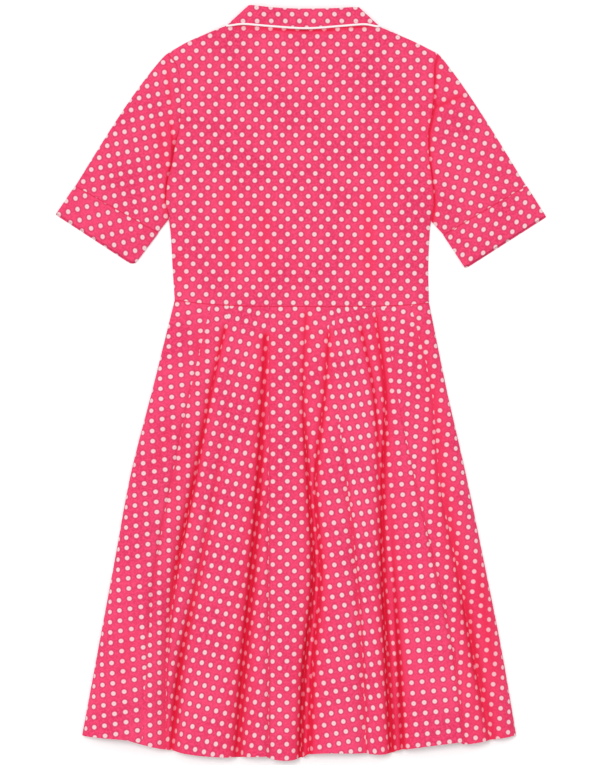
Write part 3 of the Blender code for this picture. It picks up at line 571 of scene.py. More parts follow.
def cloth(name, points, lie, looped=False, flip=False, marks=None, doubled=False):
    """A piece of cloth: the grid is its outer face, and the wall goes on the inside.

    lie is the name of a panel of the print, or print coordinates at the corners. Doubled cloth
    has the collar's wall, half of it on each side of the grid.
    """
    if isinstance(lie, str):
        lie = corner_values(laid_print(points, lie), looped, flip)
    node, width, length, area, rests_on = SHEETS[name]
    mesh = grid_mesh(name, points, lie, looped, flip, marks)
    piece = dressed(mesh, printed_cotton(), "cotton", node)
    solid = piece.modifiers.new("Wall", "SOLIDIFY")
    solid.thickness = COLLAR_WALL * MM if doubled else bpy.context.scene.dress_cloth.wall
    solid.offset = 0.0 if doubled else -1.0
    solid.use_quality_normals = True


# ==== finishes ============================================================================

DOT_FUZZ = 0.0008          # width in metres over which a dot's edge wanders
YARN_SPAN = (0.3, 0.7)     # values of a noise between which the dye changes
CLOUD_STRENGTH = 0.5       # share of the thin dye in the brightest clouds
CREASE_CORE_SHADE_SPAN = (0.65, 1.0)   # strengths of the crease mark between which the darker painted shade at a crease's heart sets in
SHELL_SPAN = (0.35, 0.65)  # values of a noise between which the shell turns cloudy
SHELL_ROUGHNESS = (0.22, 0.32)  # of the clear shell and of its clouds
# spots of each noise in a metre, and how much finer detail it has
NOISES = {"fuzz": (900.0, 2.0), "yarn": (330.0, 3.0), "cloud": (14.0, 2.0),
          "crumple": (55.0, 3.0), "piping": (260.0, 2.0), "strands": (800.0, 2.0),
          "twist": (3000.0, 2.0), "shell": (320.0, 4.0), "floor": (3.0, 2.0)}
# strength of each raised pattern, and its height in metres
BUMPS = {"crumple": (0.08, 0.0012), "weave": (0.25, 0.00008), "twill": (0.15, 0.00008),
         "twist": (0.4, 0.00005)}


def plug(tree, node, values):
    """Links each of a node's inputs to a socket, or sets it to a value."""
    for key, value in values.items():
        if isinstance(value, bpy.types.NodeSocket):
            tree.links.new(value, node.inputs[key])
        else:
            node.inputs[key].default_value = value


def add_node(tree, kind, values=(), **settings):
    """New node with its settings and its inputs."""
    made = tree.nodes.new(kind)
    for name, value in settings.items():
        setattr(made, name, value)
    plug(tree, made, dict(values))
    return made


def vector_math(tree, operation, *values):
    """Arithmetic on vectors, which gives a number for LENGTH and else a vector."""
    made = add_node(tree, "ShaderNodeVectorMath", enumerate(values), operation=operation)
    return made.outputs["Value" if operation == "LENGTH" else "Vector"]


def math_node(tree, operation, *values):
    """Arithmetic on numbers."""
    return add_node(tree, "ShaderNodeMath", enumerate(values), operation=operation).outputs[0]


def stepped(tree, value, low, high, to_low, to_high):
    """Soft step of a value from to_low at low to to_high at high."""
    return add_node(tree, "ShaderNodeMapRange", {
        "Value": value, "From Min": low, "From Max": high, "To Min": to_low, "To Max": to_high},
        interpolation_type="SMOOTHSTEP").outputs["Result"]


def opaque(colour):
    """A colour setting with the fourth number that a shader's colours have."""
    return (*colour, 1.0)


def mixed(tree, factor, *colours):
    """Mix of two colours, each of them a socket or a setting."""
    first, second = [value if isinstance(value, bpy.types.NodeSocket) else opaque(value)
                     for value in colours]
    made = add_node(tree, "ShaderNodeMix", {0: factor, 6: first, 7: second}, data_type="RGBA")
    return made.outputs[2]


def noise(tree, place, name):
    """One of the noises, read at a place."""
    scale, detail = NOISES[name]
    return add_node(tree, "ShaderNodeTexNoise",
                    {"Vector": place, "Scale": scale, "Detail": detail}).outputs["Fac"]


def bump(tree, height, name, under=None):
    """Normal of a surface that a pattern raises, on top of another normal if one is given."""
    strength, reach = BUMPS[name]
    values = {"Height": height, "Strength": strength, "Distance": reach}
    if under is not None:
        values["Normal"] = under
    return add_node(tree, "ShaderNodeBump", values).outputs["Normal"]


def object_place(tree):
    """The point's place on the dress."""
    return add_node(tree, "ShaderNodeTexCoord").outputs["Object"]


def uv_layer(tree, name):
    """One of the piece's own maps."""
    return add_node(tree, "ShaderNodeUVMap", uv_map=name).outputs["UV"]


def attribute(tree, name):
    """One of the marks that a cloth's points carry."""
    return add_node(tree, "ShaderNodeAttribute", attribute_name=name).outputs["Fac"]


def new_material(name):
    """New material, its node tree and its shader."""
    material = bpy.data.materials.new(name)
    material.use_nodes = True
    tree = material.node_tree
    return material, tree, tree.nodes["Principled BSDF"]


def dot_distance(tree, place, repeat):
    """Distance in metres to the nearest dot, at a repeat's corners or in its middle."""
    distances = []
    for shift in (0.5, 0.0):
        moved = vector_math(tree, "ADD", place, (shift, shift, 0.0))
        cell = vector_math(tree, "FRACTION", moved)
        centred = vector_math(tree, "SUBTRACT", cell, (0.5, 0.5, 0.0))
        scaled = vector_math(tree, "MULTIPLY", centred, repeat)
        distances.append(vector_math(tree, "LENGTH", scaled))
    return math_node(tree, "MINIMUM", *distances)


def woven_height(tree, place, repeat, spacing):
    """Height of a plain weave: a wave across the cloth times a wave along it."""
    split = add_node(tree, "ShaderNodeSeparateXYZ",
                     {0: vector_math(tree, "MULTIPLY", place, repeat)})
    turn = 2 * math.pi / spacing
    waves = [math_node(tree, "SINE", math_node(tree, "MULTIPLY", split.outputs[axis], turn))
             for axis in (0, 1)]
    return math_node(tree, "MULTIPLY", *waves)


def printed_cotton():
    """Pink cotton with cream dots on a quincunx, a fine weave, and a slight unevenness."""
    found = bpy.data.materials.get("printed_cotton")
    if found:
        return found
    settings = bpy.context.scene.dress_print
    material, tree, shader = new_material("printed_cotton")
    place, repeat, solid = uv_layer(tree, "print"), uv_layer(tree, "repeat"), object_place(tree)
    wander = math_node(tree, "MULTIPLY_ADD", noise(tree, solid, "fuzz"), DOT_FUZZ, -DOT_FUZZ / 2)
    nearest = math_node(tree, "ADD", dot_distance(tree, place, repeat), wander)
    inner, outer = [(settings.dot + side * settings.dot_edge) / 2 for side in (-1, 1)]
    dot = stepped(tree, nearest, inner, outer, 1.0, 0.0)
    rim = stepped(tree, nearest, outer, outer + settings.rim_width, settings.rim, 0.0)
    core = stepped(tree, nearest, settings.dot_core / 2, settings.dot_core, 1.0, 0.0)
    yarn = stepped(tree, noise(tree, solid, "yarn"), *YARN_SPAN, 0.0, 1.0)
    cloud = stepped(tree, noise(tree, solid, "cloud"), *YARN_SPAN, 0.0, CLOUD_STRENGTH)
    # painted shade: the crease mark deepens the ground and the dots in creases and grooves, and darker
    # still at the heart of a deep crease
    crease = attribute(tree, "crease")
    heart = stepped(tree, crease, *CREASE_CORE_SHADE_SPAN, 0.0, 1.0)
    # painted shadow: a dark line along each seam, from the closeness to a seam that the points carry
    near, far = [1 - distance / SEAM_REACH for distance in SEAM_LINE]
    seam = stepped(tree, attribute(tree, "seam"), far, near, 0.0, settings.seam)

    ground = mixed(tree, yarn, settings.pink_deep, settings.pink)
    for factor, over in ((cloud, settings.pink_bright), (rim, settings.pink_rim),
                         (crease, settings.pink_crease_shade), (heart, settings.pink_crease_core_shade)):
        ground = mixed(tree, factor, ground, over)
    cream = mixed(tree, core, settings.cream, settings.cream_core)
    for factor, over in ((crease, settings.cream_crease_shade), (heart, settings.cream_crease_core_shade)):
        cream = mixed(tree, factor, cream, over)
    printed = mixed(tree, dot, ground, cream)
    crumple = bump(tree, noise(tree, solid, "crumple"), "crumple")
    weave = woven_height(tree, place, repeat, settings.thread)
    plug(tree, shader, {
        "Base Color": mixed(tree, seam, printed, settings.pink_seam_shadow),
        "Normal": bump(tree, weave, "weave", crumple),
        "Roughness": 0.82, "Specular IOR Level": 0.15, "Sheen Weight": 0.03,
        "Sheen Roughness": 0.5, "Sheen Tint": opaque(settings.pink_bright)})
    return material


def corded_white():
    """White cotton over a cord, with a fine twill that slants round it."""
    settings = bpy.context.scene.dress_trim
    material, tree, shader = new_material("corded_white")
    twill = add_node(tree, "ShaderNodeTexWave", {
        "Vector": uv_layer(tree, "print"), "Scale": 1.0, "Distortion": 0.4},
        bands_direction="DIAGONAL").outputs["Fac"]
    clouds = noise(tree, object_place(tree), "piping")
    plug(tree, shader, {
        "Base Color": mixed(tree, clouds, settings.piping, settings.piping_shade),
        "Normal": bump(tree, twill, "twill"), "Roughness": 0.7})
    return material


def sewing_thread():
    """Pink thread, with its twist as a fine noise."""
    found = bpy.data.materials.get("sewing_thread")
    if found:
        return found
    settings = bpy.context.scene.dress_trim
    material, tree, shader = new_material("sewing_thread")
    solid = object_place(tree)
    strands = noise(tree, solid, "strands")
    plug(tree, shader, {
        "Base Color": mixed(tree, strands, settings.thread, settings.thread_shade),
        "Normal": bump(tree, noise(tree, solid, "twist"), "twist"), "Roughness": 0.55})
    return material


def shell_button():
    """Pale pink shell: soft clouds under a clear gloss."""
    settings = bpy.context.scene.dress_trim
    material, tree, shader = new_material("shell_button")
    clouds = stepped(tree, noise(tree, object_place(tree), "shell"), *SHELL_SPAN, 0.0, 1.0)
    plug(tree, shader, {
        "Base Color": mixed(tree, clouds, settings.button, settings.button_cloud),
        "Roughness": stepped(tree, clouds, 0.0, 1.0, *SHELL_ROUGHNESS), "Coat Weight": 0.5})
    return material


def pale_floor():
    """Pale matt surface with faint clouds."""
    stage = bpy.context.scene.dress_stage
    material, tree, shader = new_material("pale_floor")
    clouds = noise(tree, object_place(tree), "floor")
    plug(tree, shader, {"Base Color": mixed(tree, clouds, stage.floor, stage.floor_cloud),
                        "Roughness": 0.9, "Specular IOR Level": 0.1})
    return material


# ==== bodice ==============================================================================

SHOULDER_STEPS = 40
NECK_STEPS = 60
FRONT_NECK_STEPS = 24
LAP_STEPS = 8
WAIST_POINTS = 12
SIDE_STEPS = 32
ARMHOLE_STEPS = 68


def side_line(side):
    """Side seam and armhole edge of the body, half a seam's gap inside the outline."""
    line = chain(along(SIDE[side], SIDE_STEPS), along(ARMHOLE[side], ARMHOLE_STEPS))
    return line - (OUTWARD[side] * SEAM_GAP / 2, 0)


def leaf_share(x, y, side):
    """1 over a collar leaf and close beside it, falling softly to 0 further out."""
    fold, edge = COLLAR[side + "_front"][:2]
    neck_fold, neck_edge = COLLAR[side + "_side"][:2]
    corners = [neck_fold, neck_edge, edge, fold]
    if side == "right":
        corners.reverse()
    outside = np.full_like(x, -np.inf)
    for (x0, y0), (x1, y1) in zip(corners, corners[1:] + corners[:1]):
        length = math.hypot(x1 - x0, y1 - y0)
        outside = np.maximum(outside, ((x - x0) * (y1 - y0) - (y - y0) * (x1 - x0)) / length)
    return smooth_step(1 - (outside - LEAF_MARGIN) / LEAF_SLOPE)


def between_folds(share, width):
    """Rise of a flattened tube at shares of its width: 0 at both folds and 1 between them."""
    return roll(share * width, TUBE_ROLL) * roll((1 - share) * width, TUBE_ROLL)


def armhole_height(share):
    """Height of the armhole seam at shares of its length from the underarm to the shoulder."""
    return TUBE_EDGE + SLEEVE_LOFT * SEAM_LOFT_SHARE * between_folds(share, ARMHOLE_LENGTH)


def back_surface(edge):
    """The back: lofted above the front, rolled down at its sides and shoulders.

    edge is the height at which it meets the front along the side seams.
    """
    steps = 2 * SHOULDER_STEPS + NECK_STEPS
    bottom = along(WAIST_LINE, steps) + (0, SEAM_GAP)
    top = chain(along(SHOULDER["left"], SHOULDER_STEPS), along(BACK_NECK, NECK_STEPS),
                along(SHOULDER["right"][::-1], SHOULDER_STEPS)) - (0, SEAM_GAP)
    left, right = side_line("left"), side_line("right")
    left[0], right[0], top[0], top[-1] = bottom[0], bottom[-1], left[-1], right[-1]
    plan = patch(bottom, top, left, right)
    x, y = plan[..., 0], plan[..., 1]
    column = np.arange(steps + 1)
    inside_neck = np.minimum(column, steps - column) - SHOULDER_STEPS
    at_neck = roll(np.maximum(inside_neck, 0), NECK_STEPS * NECK_RISE)
    over_leaf = np.maximum(*[leaf_share(*top.T, side) for side in SIDES])
    top_edge = edge + (NECK_SIDE_LOFT - edge) * over_leaf
    top_edge += (BACK_LOFT - NECK_SIDE_LOFT) * at_neck
    below_top = top[:, 1][:, None] - y
    above_waist = y - bottom[:, 1][:, None]
    body = WAIST_LOFT + (BACK_LOFT - WAIST_LOFT) * smooth_step(above_waist / WAIST_RISE)
    from_neck = np.minimum(*[abs(x - SHOULDER[side][-1][0]) for side in SIDES])
    roll_width = SHOULDER_ROLL + NECK_ROLL * (1 - smooth_step(from_neck / NECK_ROLL))
    body = top_edge[:, None] + (body - top_edge[:, None]) * smooth_step(below_top / roll_width)
    from_side = np.minimum(x - left[None, :, 0], right[None, :, 0] - x)
    row = np.arange(plan.shape[1])
    at_armhole = np.clip((row - SIDE_STEPS) / ARMHOLE_STEPS, 0, 1)
    sewn = smooth_step(at_armhole / UNDERARM_SHARE)
    side_edge = edge + (armhole_height(at_armhole) - edge) * sewn
    rise = roll(from_side, SIDE_ROLL) * (1 - sewn) + smooth_step(from_side / ARMHOLE_ROLL) * sewn
    height = side_edge + (body - side_edge) * rise
    depth, shade = drapes(x, y, BACK_DRAPES)
    height -= depth * rise
    at_rest = smooth_step(below_top / roll_width) * smooth_step(above_waist / WAIST_SETTLE)
    height += rumple(x, y, "back") * rise * at_rest
    groove = [at_stations(ARMHOLE_GROOVE[side], at_armhole) * sewn for side in SIDES]
    # painted shade along the armhole's groove, on the back's side of the seam
    strength, width = BACK_GROOVE_SHADE
    shade += strength * np.where(x < 0, *groove) * trough(from_side, width, width)
    from_armhole = np.where(at_armhole > 0, from_side, SEAM_REACH)
    return lift(plan, height), marked(shade, above_waist, from_armhole)


def front_surface(side):
    """One front, face down, lifted over its collar leaf and the buttons."""
    sign = OUTWARD[side]
    lap_edge = CENTRE - sign * LAP
    outer_line = side_line(side)
    shoulder = SHOULDER[side]
    waist_corner = WAIST_LINE[0] if side == "left" else WAIST_LINE[-1]
    lap_start = CENTRE + sign * (LAP + LAP_MARGIN)
    seam_end = COLLAR[side + "_front"][2]
    neck_start = np.interp(lap_start * sign, *np.transpose(sorted(
        [(seam_end[0] * sign, seam_end[1]), (shoulder[-1][0] * sign, shoulder[-1][1])])))
    waist_x, waist_y = np.array(WAIST_LINE, float).T
    steps = SHOULDER_STEPS + FRONT_NECK_STEPS
    waist = [(x, np.interp(x, waist_x, waist_y))
             for x in np.linspace(waist_corner[0], lap_start, WAIST_POINTS)]
    lap_waist = along([waist[-1], (lap_edge, np.interp(lap_edge, waist_x, waist_y))], LAP_STEPS)
    bottom = chain(along(waist, steps), lap_waist) + (0, SEAM_GAP)
    neck = along([shoulder[-1], (lap_start, neck_start)], FRONT_NECK_STEPS)
    over_seam = along([neck[-1], seam_end], LAP_STEPS // 2)
    lap_neck = chain(over_seam, along([seam_end, (lap_edge, FRONT_NECK_Y)], LAP_STEPS // 2))
    top = chain(along(shoulder, SHOULDER_STEPS), neck, lap_neck) - (0, 2 * SEAM_GAP)
    outer_line[0], top[0] = bottom[0], outer_line[-1]
    inner_line = along([bottom[-1], top[-1]], SIDE_STEPS + ARMHOLE_STEPS)
    plan = patch(bottom, top, outer_line, inner_line)
    x, y = plan[..., 0], plan[..., 1]
    before_lap = (x - lap_start) * sign - LAP_OVERRUN
    on_lap = LAP_LIFT[side] * smooth_step(1 - before_lap / LAP_SLOPE)
    on_leaf = LEAF_LIFT * leaf_share(x, y, side)
    return lift(plan, np.maximum(on_lap, on_leaf))


# ==== sleeves =============================================================================

SLEEVE_ROWS = 64
CUFF_ROWS = 16
ACROSS_STEPS = 72
FOLD_EDGE_STEPS = 7


def tube(plan_top, plan_bottom, top_height, edge_height):
    """Flattened tube: an upper layer, a lower layer on the surface, and two rounded folds.

    The plans run across the tube in i and along it in j. The folds' sections are half
    circles whose diameter is edge_height.
    """
    radius = edge_height / 2
    angle = np.linspace(0, math.pi, FOLD_EDGE_STEPS + 2)[1:-1][:, None, None]

    def drawn_in(plan):
        """The plan drawn in by a radius at both folds, and the directions out of them."""
        moved, outward = plan.copy(), []
        for edge, beside in ((0, 1), (-1, -2)):
            away = unit(plan[edge] - plan[beside])
            moved[edge] -= away * radius
            outward.append(away)
        share = np.linspace(0, 1, len(plan))[:, None, None]
        return moved[0] + (moved[-1] - moved[0]) * share + (
            plan - (plan[0] + (plan[-1] - plan[0]) * share)), outward

    top, (first_out, last_out) = drawn_in(plan_top)
    bottom = drawn_in(plan_bottom)[0]
    share = (1 - np.cos(angle)) / 2
    height = (radius + radius * np.cos(angle))[..., 0]
    last_fold = (1 - share) * top[-1] + share * bottom[-1] + np.sin(angle) * radius * last_out
    first_fold = share * top[0] + (1 - share) * bottom[0] + np.sin(angle) * radius * first_out
    return np.concatenate([lift(top, top_height), lift(last_fold, height),
                           lift(bottom[::-1], 0.0), lift(first_fold, height[::-1])])


def sleeve_surface(side):
    """Flattened sleeve from the armhole to the cuff seam.

    The outer fold bows out by half a sine wave that leans towards the shoulder.
    """
    seam_outer, seam_inner, edge_outer = [np.array(p, float) for p in SLEEVES[side][:3]]
    sign = OUTWARD[side]
    down = unit(edge_outer - seam_outer)
    near = along(ARMHOLE[side], ACROSS_STEPS) + (sign * SEAM_GAP / 2, 0)
    near[-1] += (sign * SHOULDER_CLEARANCE, 0)
    far = along([seam_inner, seam_outer], ACROSS_STEPS) - down * SEAM_GAP / 2

    def between(near, far):
        """Plan of one layer between its edge at the armhole and its edge at the cuff."""
        outer = along([near[-1], far[-1]], SLEEVE_ROWS)
        run = unit(far[-1] - near[-1])
        outward = sign * np.array([-run[1], run[0]])
        share = np.linspace(0, 1, SLEEVE_ROWS + 1)[:, None]
        bow = SLEEVE_BULGE[side] * np.sin(math.pi * share ** BULGE_LEAN)
        return patch(near, far, along([near[0], far[0]], SLEEVE_ROWS), outer + outward * bow)

    under = between(near, far)
    plan = between(near - (sign * (TUCK + SEAM_GAP), 0), far + down * (TUCK + SEAM_GAP))
    across = np.linspace(0, 1, ACROSS_STEPS + 1)[:, None]
    forward = np.linspace(0, 1, SLEEVE_ROWS + 1)[None, :]
    width = np.linalg.norm(plan[-1] - plan[0], axis=-1)[None, :]
    length = np.linalg.norm(plan[:, -1] - plan[:, 0], axis=-1)[:, None]
    from_folds = between_folds(across, width)
    from_seam = smooth_step(forward * length / ARMHOLE_ROLL)
    to_cuff = 1 - (1 - CUFF_LOFT_SHARE) * forward
    height = armhole_height(across) * (1 - from_seam) + from_seam * (
        TUBE_EDGE + SLEEVE_LOFT * from_folds * to_cuff)
    x, y = plan[..., 0], plan[..., 1]
    depth, shade = drapes(x, y, SLEEVE_DRAPES[side])
    groove = at_stations(ARMHOLE_GROOVE[side], across) * trough(forward * length - GROOVE_PLACE,
                                                                *GROOVE_SLOPES)
    depth += GROOVE_DEPTH * groove + tuck(forward * length, TUCK_DROP)
    depth += tuck((1 - forward) * length, CUFF_TUCK_DROP)
    height = height + from_folds * (rumple(x, y, "sleeve") * from_seam - depth)
    # painted shade in the groove beside the armhole
    shade = shade + GROOVE_SHADE * groove
    return tube(plan, under, height, TUBE_EDGE), marked(shade, forward * length - TUCK,
                                                        (1 - forward) * length - TUCK)


def cuff_surface(side):
    """Flattened cuff, a little proud of the sleeve, with its front edge reaching further."""
    seam_outer, seam_inner, edge_outer, edge_inner = [np.array(p, float) for p in SLEEVES[side]]
    across, down = unit(seam_outer - seam_inner), unit(edge_outer - seam_outer)
    near = along([seam_inner - across * CUFF_PROUD, seam_outer + across * CUFF_PROUD],
                 ACROSS_STEPS) + down * SEAM_GAP / 2
    far = along([edge_inner - across * CUFF_PROUD, edge_outer + across * CUFF_PROUD],
                ACROSS_STEPS)
    length = np.linalg.norm(far[-1] - near[-1])
    from_corner = np.clip(np.linalg.norm(far - far[0], axis=-1) / CORNER_WIDTH, 0, 1)
    far = far - down * CORNER_DEPTH[side] * (1 - from_corner)[:, None] ** 2
    plan = patch(near, far, along([near[0], far[0]], CUFF_ROWS),
                 along([near[-1], far[-1]], CUFF_ROWS))
    forward = np.linspace(0, 1, CUFF_ROWS + 1)
    under = plan + forward[None, :, None] ** 2 * down * CUFF_UNDERLAP
    width = np.linalg.norm(plan[-1] - plan[0], axis=-1)[None, :]
    share = np.linspace(0, 1, ACROSS_STEPS + 1)[:, None]
    edge = TUBE_EDGE + CUFF_PROUD
    from_folds = between_folds(share, width)
    dip = seam_dip(forward * length) + CUFF_EDGE_DIP * seam_dip((1 - forward) * length)
    settled = SLEEVE_LOFT * CUFF_LOFT_SHARE * (1 - CUFF_SETTLE * forward ** 2)
    height = edge + from_folds * (settled - dip)[None, :]
    return tube(plan, under, height, edge), marked(np.zeros_like(height), forward * length)


# ==== collar ==============================================================================

def collar_rows():
    """Rows along the collar: fold, edge and seam points, the two heights, and the side turn.

    Between a side row and its back row the collar turns from the front layer to the back
    layer, and there the heights follow half a circle that bulges outwards.
    """
    names = list(COLLAR)
    table = np.array([np.concatenate([np.ravel(row[:3]), row[3:]]) for row in COLLAR.values()])
    back = [k for k, name in enumerate(names) if "back" in name or "mid" in name]
    rows, bulges = [], []
    for k, (first, second) in enumerate(zip(names, names[1:])):
        kind = ("front" if "front" in first + second
                else "turn" if "side" in first + second else "back")
        steps = COLLAR_STEPS[kind]
        share = np.arange(steps + (k == len(names) - 2)) / steps
        low, high = table[k], table[k + 1]
        row = low + (high - low) * share[:, None]
        bulge = np.zeros((len(share), 2))
        ease = smooth_step(share)[:, None]
        if kind == "turn":
            ease = (1 - np.cos(math.pi * share))[:, None] / 2
            swing = np.sin(math.pi * share)[:, None] * OUTWARD[first.split("_")[0]] / 2
            bulge = swing * abs(high[6:] - low[6:])
        row[:, 6:] = low[6:] + (high[6:] - low[6:]) * ease
        if kind == "back":
            for column in range(table.shape[1]):
                row[:, column] = eased(back, table[back, column], k + share)
        rows.append(row)
        bulges.append(bulge)
    rows, bulges = np.concatenate(rows), np.concatenate(bulges)
    return rows[:, 0:2], rows[:, 2:4], rows[:, 4:6], rows[:, 6], rows[:, 7], bulges


def collar_surface():
    """Stand and fall in one: up the stand, round the fold, and down the fall."""
    fold, edge, seam, stand, fall, bulges = collar_rows()
    outward = unit(fold - (seam + edge) / 2)
    radius = abs(fall - stand)[:, None] / 2
    turn_from = fold - outward * radius

    def layer(start, end, shares, height, bulge, crown):
        """Straight rows from one line to another, arched by a crown."""
        plan = start[:, None] + (end - start)[:, None] * shares[None, :, None]
        plan = plan + np.stack([bulge, np.zeros_like(bulge)], axis=-1)[:, None]
        return lift(plan, height[:, None] + crown * np.sin(math.pi * shares)[None, :])

    up = layer(seam, turn_from, np.linspace(0, 1, STAND_STEPS + 1), stand, bulges[:, 0], 0.0)
    angle = math.pi * np.arange(1, FOLD_STEPS) / FOLD_STEPS
    ease = (1 - np.cos(angle)) / 2
    plan = turn_from[:, None] + outward[:, None] * radius[:, None] * np.sin(angle)[None, :, None]
    swing = bulges[:, :1] + (bulges[:, 1:] - bulges[:, :1]) * ease
    plan = plan + np.stack([swing, np.zeros_like(swing)], axis=-1)
    turn = lift(plan, stand[:, None] + (fall - stand)[:, None] * ease)
    down = layer(turn_from, edge, np.linspace(0, 1, FALL_STEPS + 1), fall, bulges[:, 1],
                 COLLAR_CROWN)
    return np.concatenate([up, turn, down], axis=1)


def piping_path(radius):
    """Line of the piping: beside the collar's outer edge and up the fronts of its leaves."""
    fold, edge, *_, fall, bulges = collar_rows()
    place = edge + unit(edge - fold) * (radius + SEAM_GAP)
    place[:, 0] += bulges[:, 1]
    shares = np.linspace(*PIPING_ENDS, PIPING_END_POINTS)[:, None]
    ends = []
    for side in SIDES:
        top, tip = np.array(COLLAR[side + "_front"][:2], float)
        run = top - tip
        aside = -OUTWARD[side] * unit(np.array([run[1], -run[0]])) * (radius + SEAM_GAP)
        ends.append(lift(tip + run * shares + aside, radius))
    return np.concatenate([ends[0][::-1], lift(place, np.maximum(fall, radius)), ends[1]])


def rings(forward, sides):
    """Circles of radius 1 square to the given directions, as points [turn, direction]."""
    forward = unit(forward)
    aside = unit(np.cross(forward, (0.0, 0.0, 1.0)))
    up = np.cross(aside, forward)
    turn = np.linspace(0, 2 * math.pi, sides, endpoint=False)[:, None, None]
    return np.cos(turn) * aside + np.sin(turn) * up


def cord_surface(path, radius, sides):
    """Round tube along a path: circles square to it, joined end to end."""
    return path + rings(np.gradient(path, axis=0), sides) * radius


# ==== skirt ===============================================================================

def fold_line(name, at):
    """x of a fold or side edge at fractions of the skirt's length."""
    ends = {"left": SKIRT_LEFT, "right": SKIRT_RIGHT}
    return at_stations(ends.get(name) or FOLDS[name]["x"], at)


def skirt_columns(at):
    """x of each mesh column at each row, and the column number of each fold line."""
    names = ["left", *FOLDS, "right"]
    columns, numbers, placed = [], {}, 0
    for first, second in zip(names, names[1:]):
        start, end = fold_line(first, at), fold_line(second, at)
        count = max(FEWEST_COLUMNS, round((end - start).mean() / COLUMN_WIDTH))
        share = np.arange(count) / count
        crowded = (1 - EVEN_SHARE) * (1 - np.cos(math.pi * share)) / 2
        share = EVEN_SHARE * share + crowded
        numbers[first] = placed
        placed += count
        columns.append(start + (end - start) * share[:, None])
    numbers["right"] = placed
    columns.append(fold_line("right", at)[None])
    return np.concatenate(columns), numbers


def skirt_plan(x, at, tucked):
    """Plan of the skirt: each column runs from under the waist seam down to the hem line."""
    waist_x, waist_y = np.array(WAIST_LINE, float).T
    hem_x, hem_y = np.array(HEM_LINE, float).T
    start = eased(waist_x, waist_y, x[:, 0])[:, None] + tucked
    end = eased(hem_x, hem_y, x[:, -1])[:, None]
    return np.stack([x, start + (end - start) * at], axis=-1)


def skirt_back_surface(edge):
    """Crown that rises from the side edges, sunk by each fold's share, less the creases.

    Returns the points, their marks, and the column number of each fold line.
    """
    at = np.linspace(0, 1, SKIRT_ROWS + 1)
    columns, numbers = skirt_columns(at)
    plan = skirt_plan(columns, at, TUCK)
    x, y = plan[..., 0], plan[..., 1]
    kept = np.ones_like(x)
    below_waist = y[:, :1] - y
    depth, shade = drapes(x, y, SKIRT_DRAPES)
    widen = FOLD_WIDTH_AT_WAIST + (1 - FOLD_WIDTH_AT_WAIST) * at
    for name, fold in FOLDS.items():
        share = np.clip(at_stations(fold["share"], at) * FOLD_DEPTH, 0, DEEPEST_SHARE)
        distance = x - fold_line(name, at)
        set_in = smooth_step((below_waist - fold["top"]) / GATHER)
        kept *= 1 - share * set_in * valley(distance, fold["left"] * widen, fold["right"] * widen)
        # painted shade along the fold, strongest on its line
        strength = np.clip(at_stations(fold["shade"], at), 0, 1) * set_in
        band = fold["band"] * widen
        shade = np.maximum(shade, strength * trough(distance, band, band))
    from_side = np.minimum(x - x[0], x[-1] - x)
    rise = roll(from_side, at_stations(EDGE_ROLL, at))
    above = (at_stations(CROWN, at) - FOLD_FLOOR) * kept - depth * smooth_step(below_waist / GATHER)
    above += rumple(x, y / 2, "skirt") * at * kept
    height = edge + (FOLD_FLOOR + np.maximum(above, 0) - edge) * rise
    height -= tuck(below_waist, TUCK_DROP) * (SIDE_TUCK + (1 - SIDE_TUCK) * rise)
    return lift(plan, height), marked(shade, below_waist - TUCK), numbers


def unrolled(points):
    """Flattened places of a strip: lengths across it measured over the surface.

    The middle column keeps its place, and each row is rolled out to both sides of it.
    """
    steps = np.linalg.norm(np.diff(points, axis=0)[..., [0, 2]], axis=-1)
    run = np.concatenate([np.zeros((1, points.shape[1])), np.cumsum(steps, axis=0)])
    middle = len(points) // 2
    return np.stack([points[middle, :, 0] + run - run[middle], points[..., 1]], axis=-1)


def skirt_front_surface():
    """Plain flat panel, whose hem is drawn down where it shows below the back's."""
    share, at = [np.linspace(0, 1, steps + 1) for steps in FRONT_STEPS]
    left, right = fold_line("left", at), fold_line("right", at)
    x = left + (right - left) * share[:, None]
    plan = skirt_plan(x, at, -SEAM_GAP)
    for start, end in FRONT_SHOWS:
        shows = smooth_step((x - start) / SHOW_SLOPE) * smooth_step((end - x) / SHOW_SLOPE)
        plan[..., 1] -= FRONT_DROP * shows * smooth_step(1 - (1 - at) / SHOW_SHARE)
    return lift(plan, 0.0)


# ==== small things ========================================================================

THREAD_SIDES = 6
# share of a stitch's length, and share of the thread's radius there
SPINDLE = [(0.0, 0.15), (0.12, 0.75), (0.5, 1.0), (0.88, 0.75), (1.0, 0.15)]
STITCH_RISE = 0.05         # how far the stitches lie above the cloth
CUFF_STITCH_STEP = 2       # mesh steps of the cuff's stitches from its seam and its folds
COLLAR_STITCH_STEP = 3     # mesh steps of the collar's stitches from its edges
# share of a button's radius, and share of its thickness there, from the upper face to the lower
BUTTON_PROFILE = [(0.0, 0.80), (0.55, 0.80), (0.66, 0.84), (0.76, 1.0), (0.88, 1.0),
                  (0.97, 0.88), (1.0, 0.6), (1.0, 0.4), (0.97, 0.12), (0.88, 0.0), (0.76, 0.0),
                  (0.66, 0.16), (0.55, 0.20), (0.0, 0.20)]
BUTTON_STEPS = (90, 64)    # mesh steps along the profile and round it


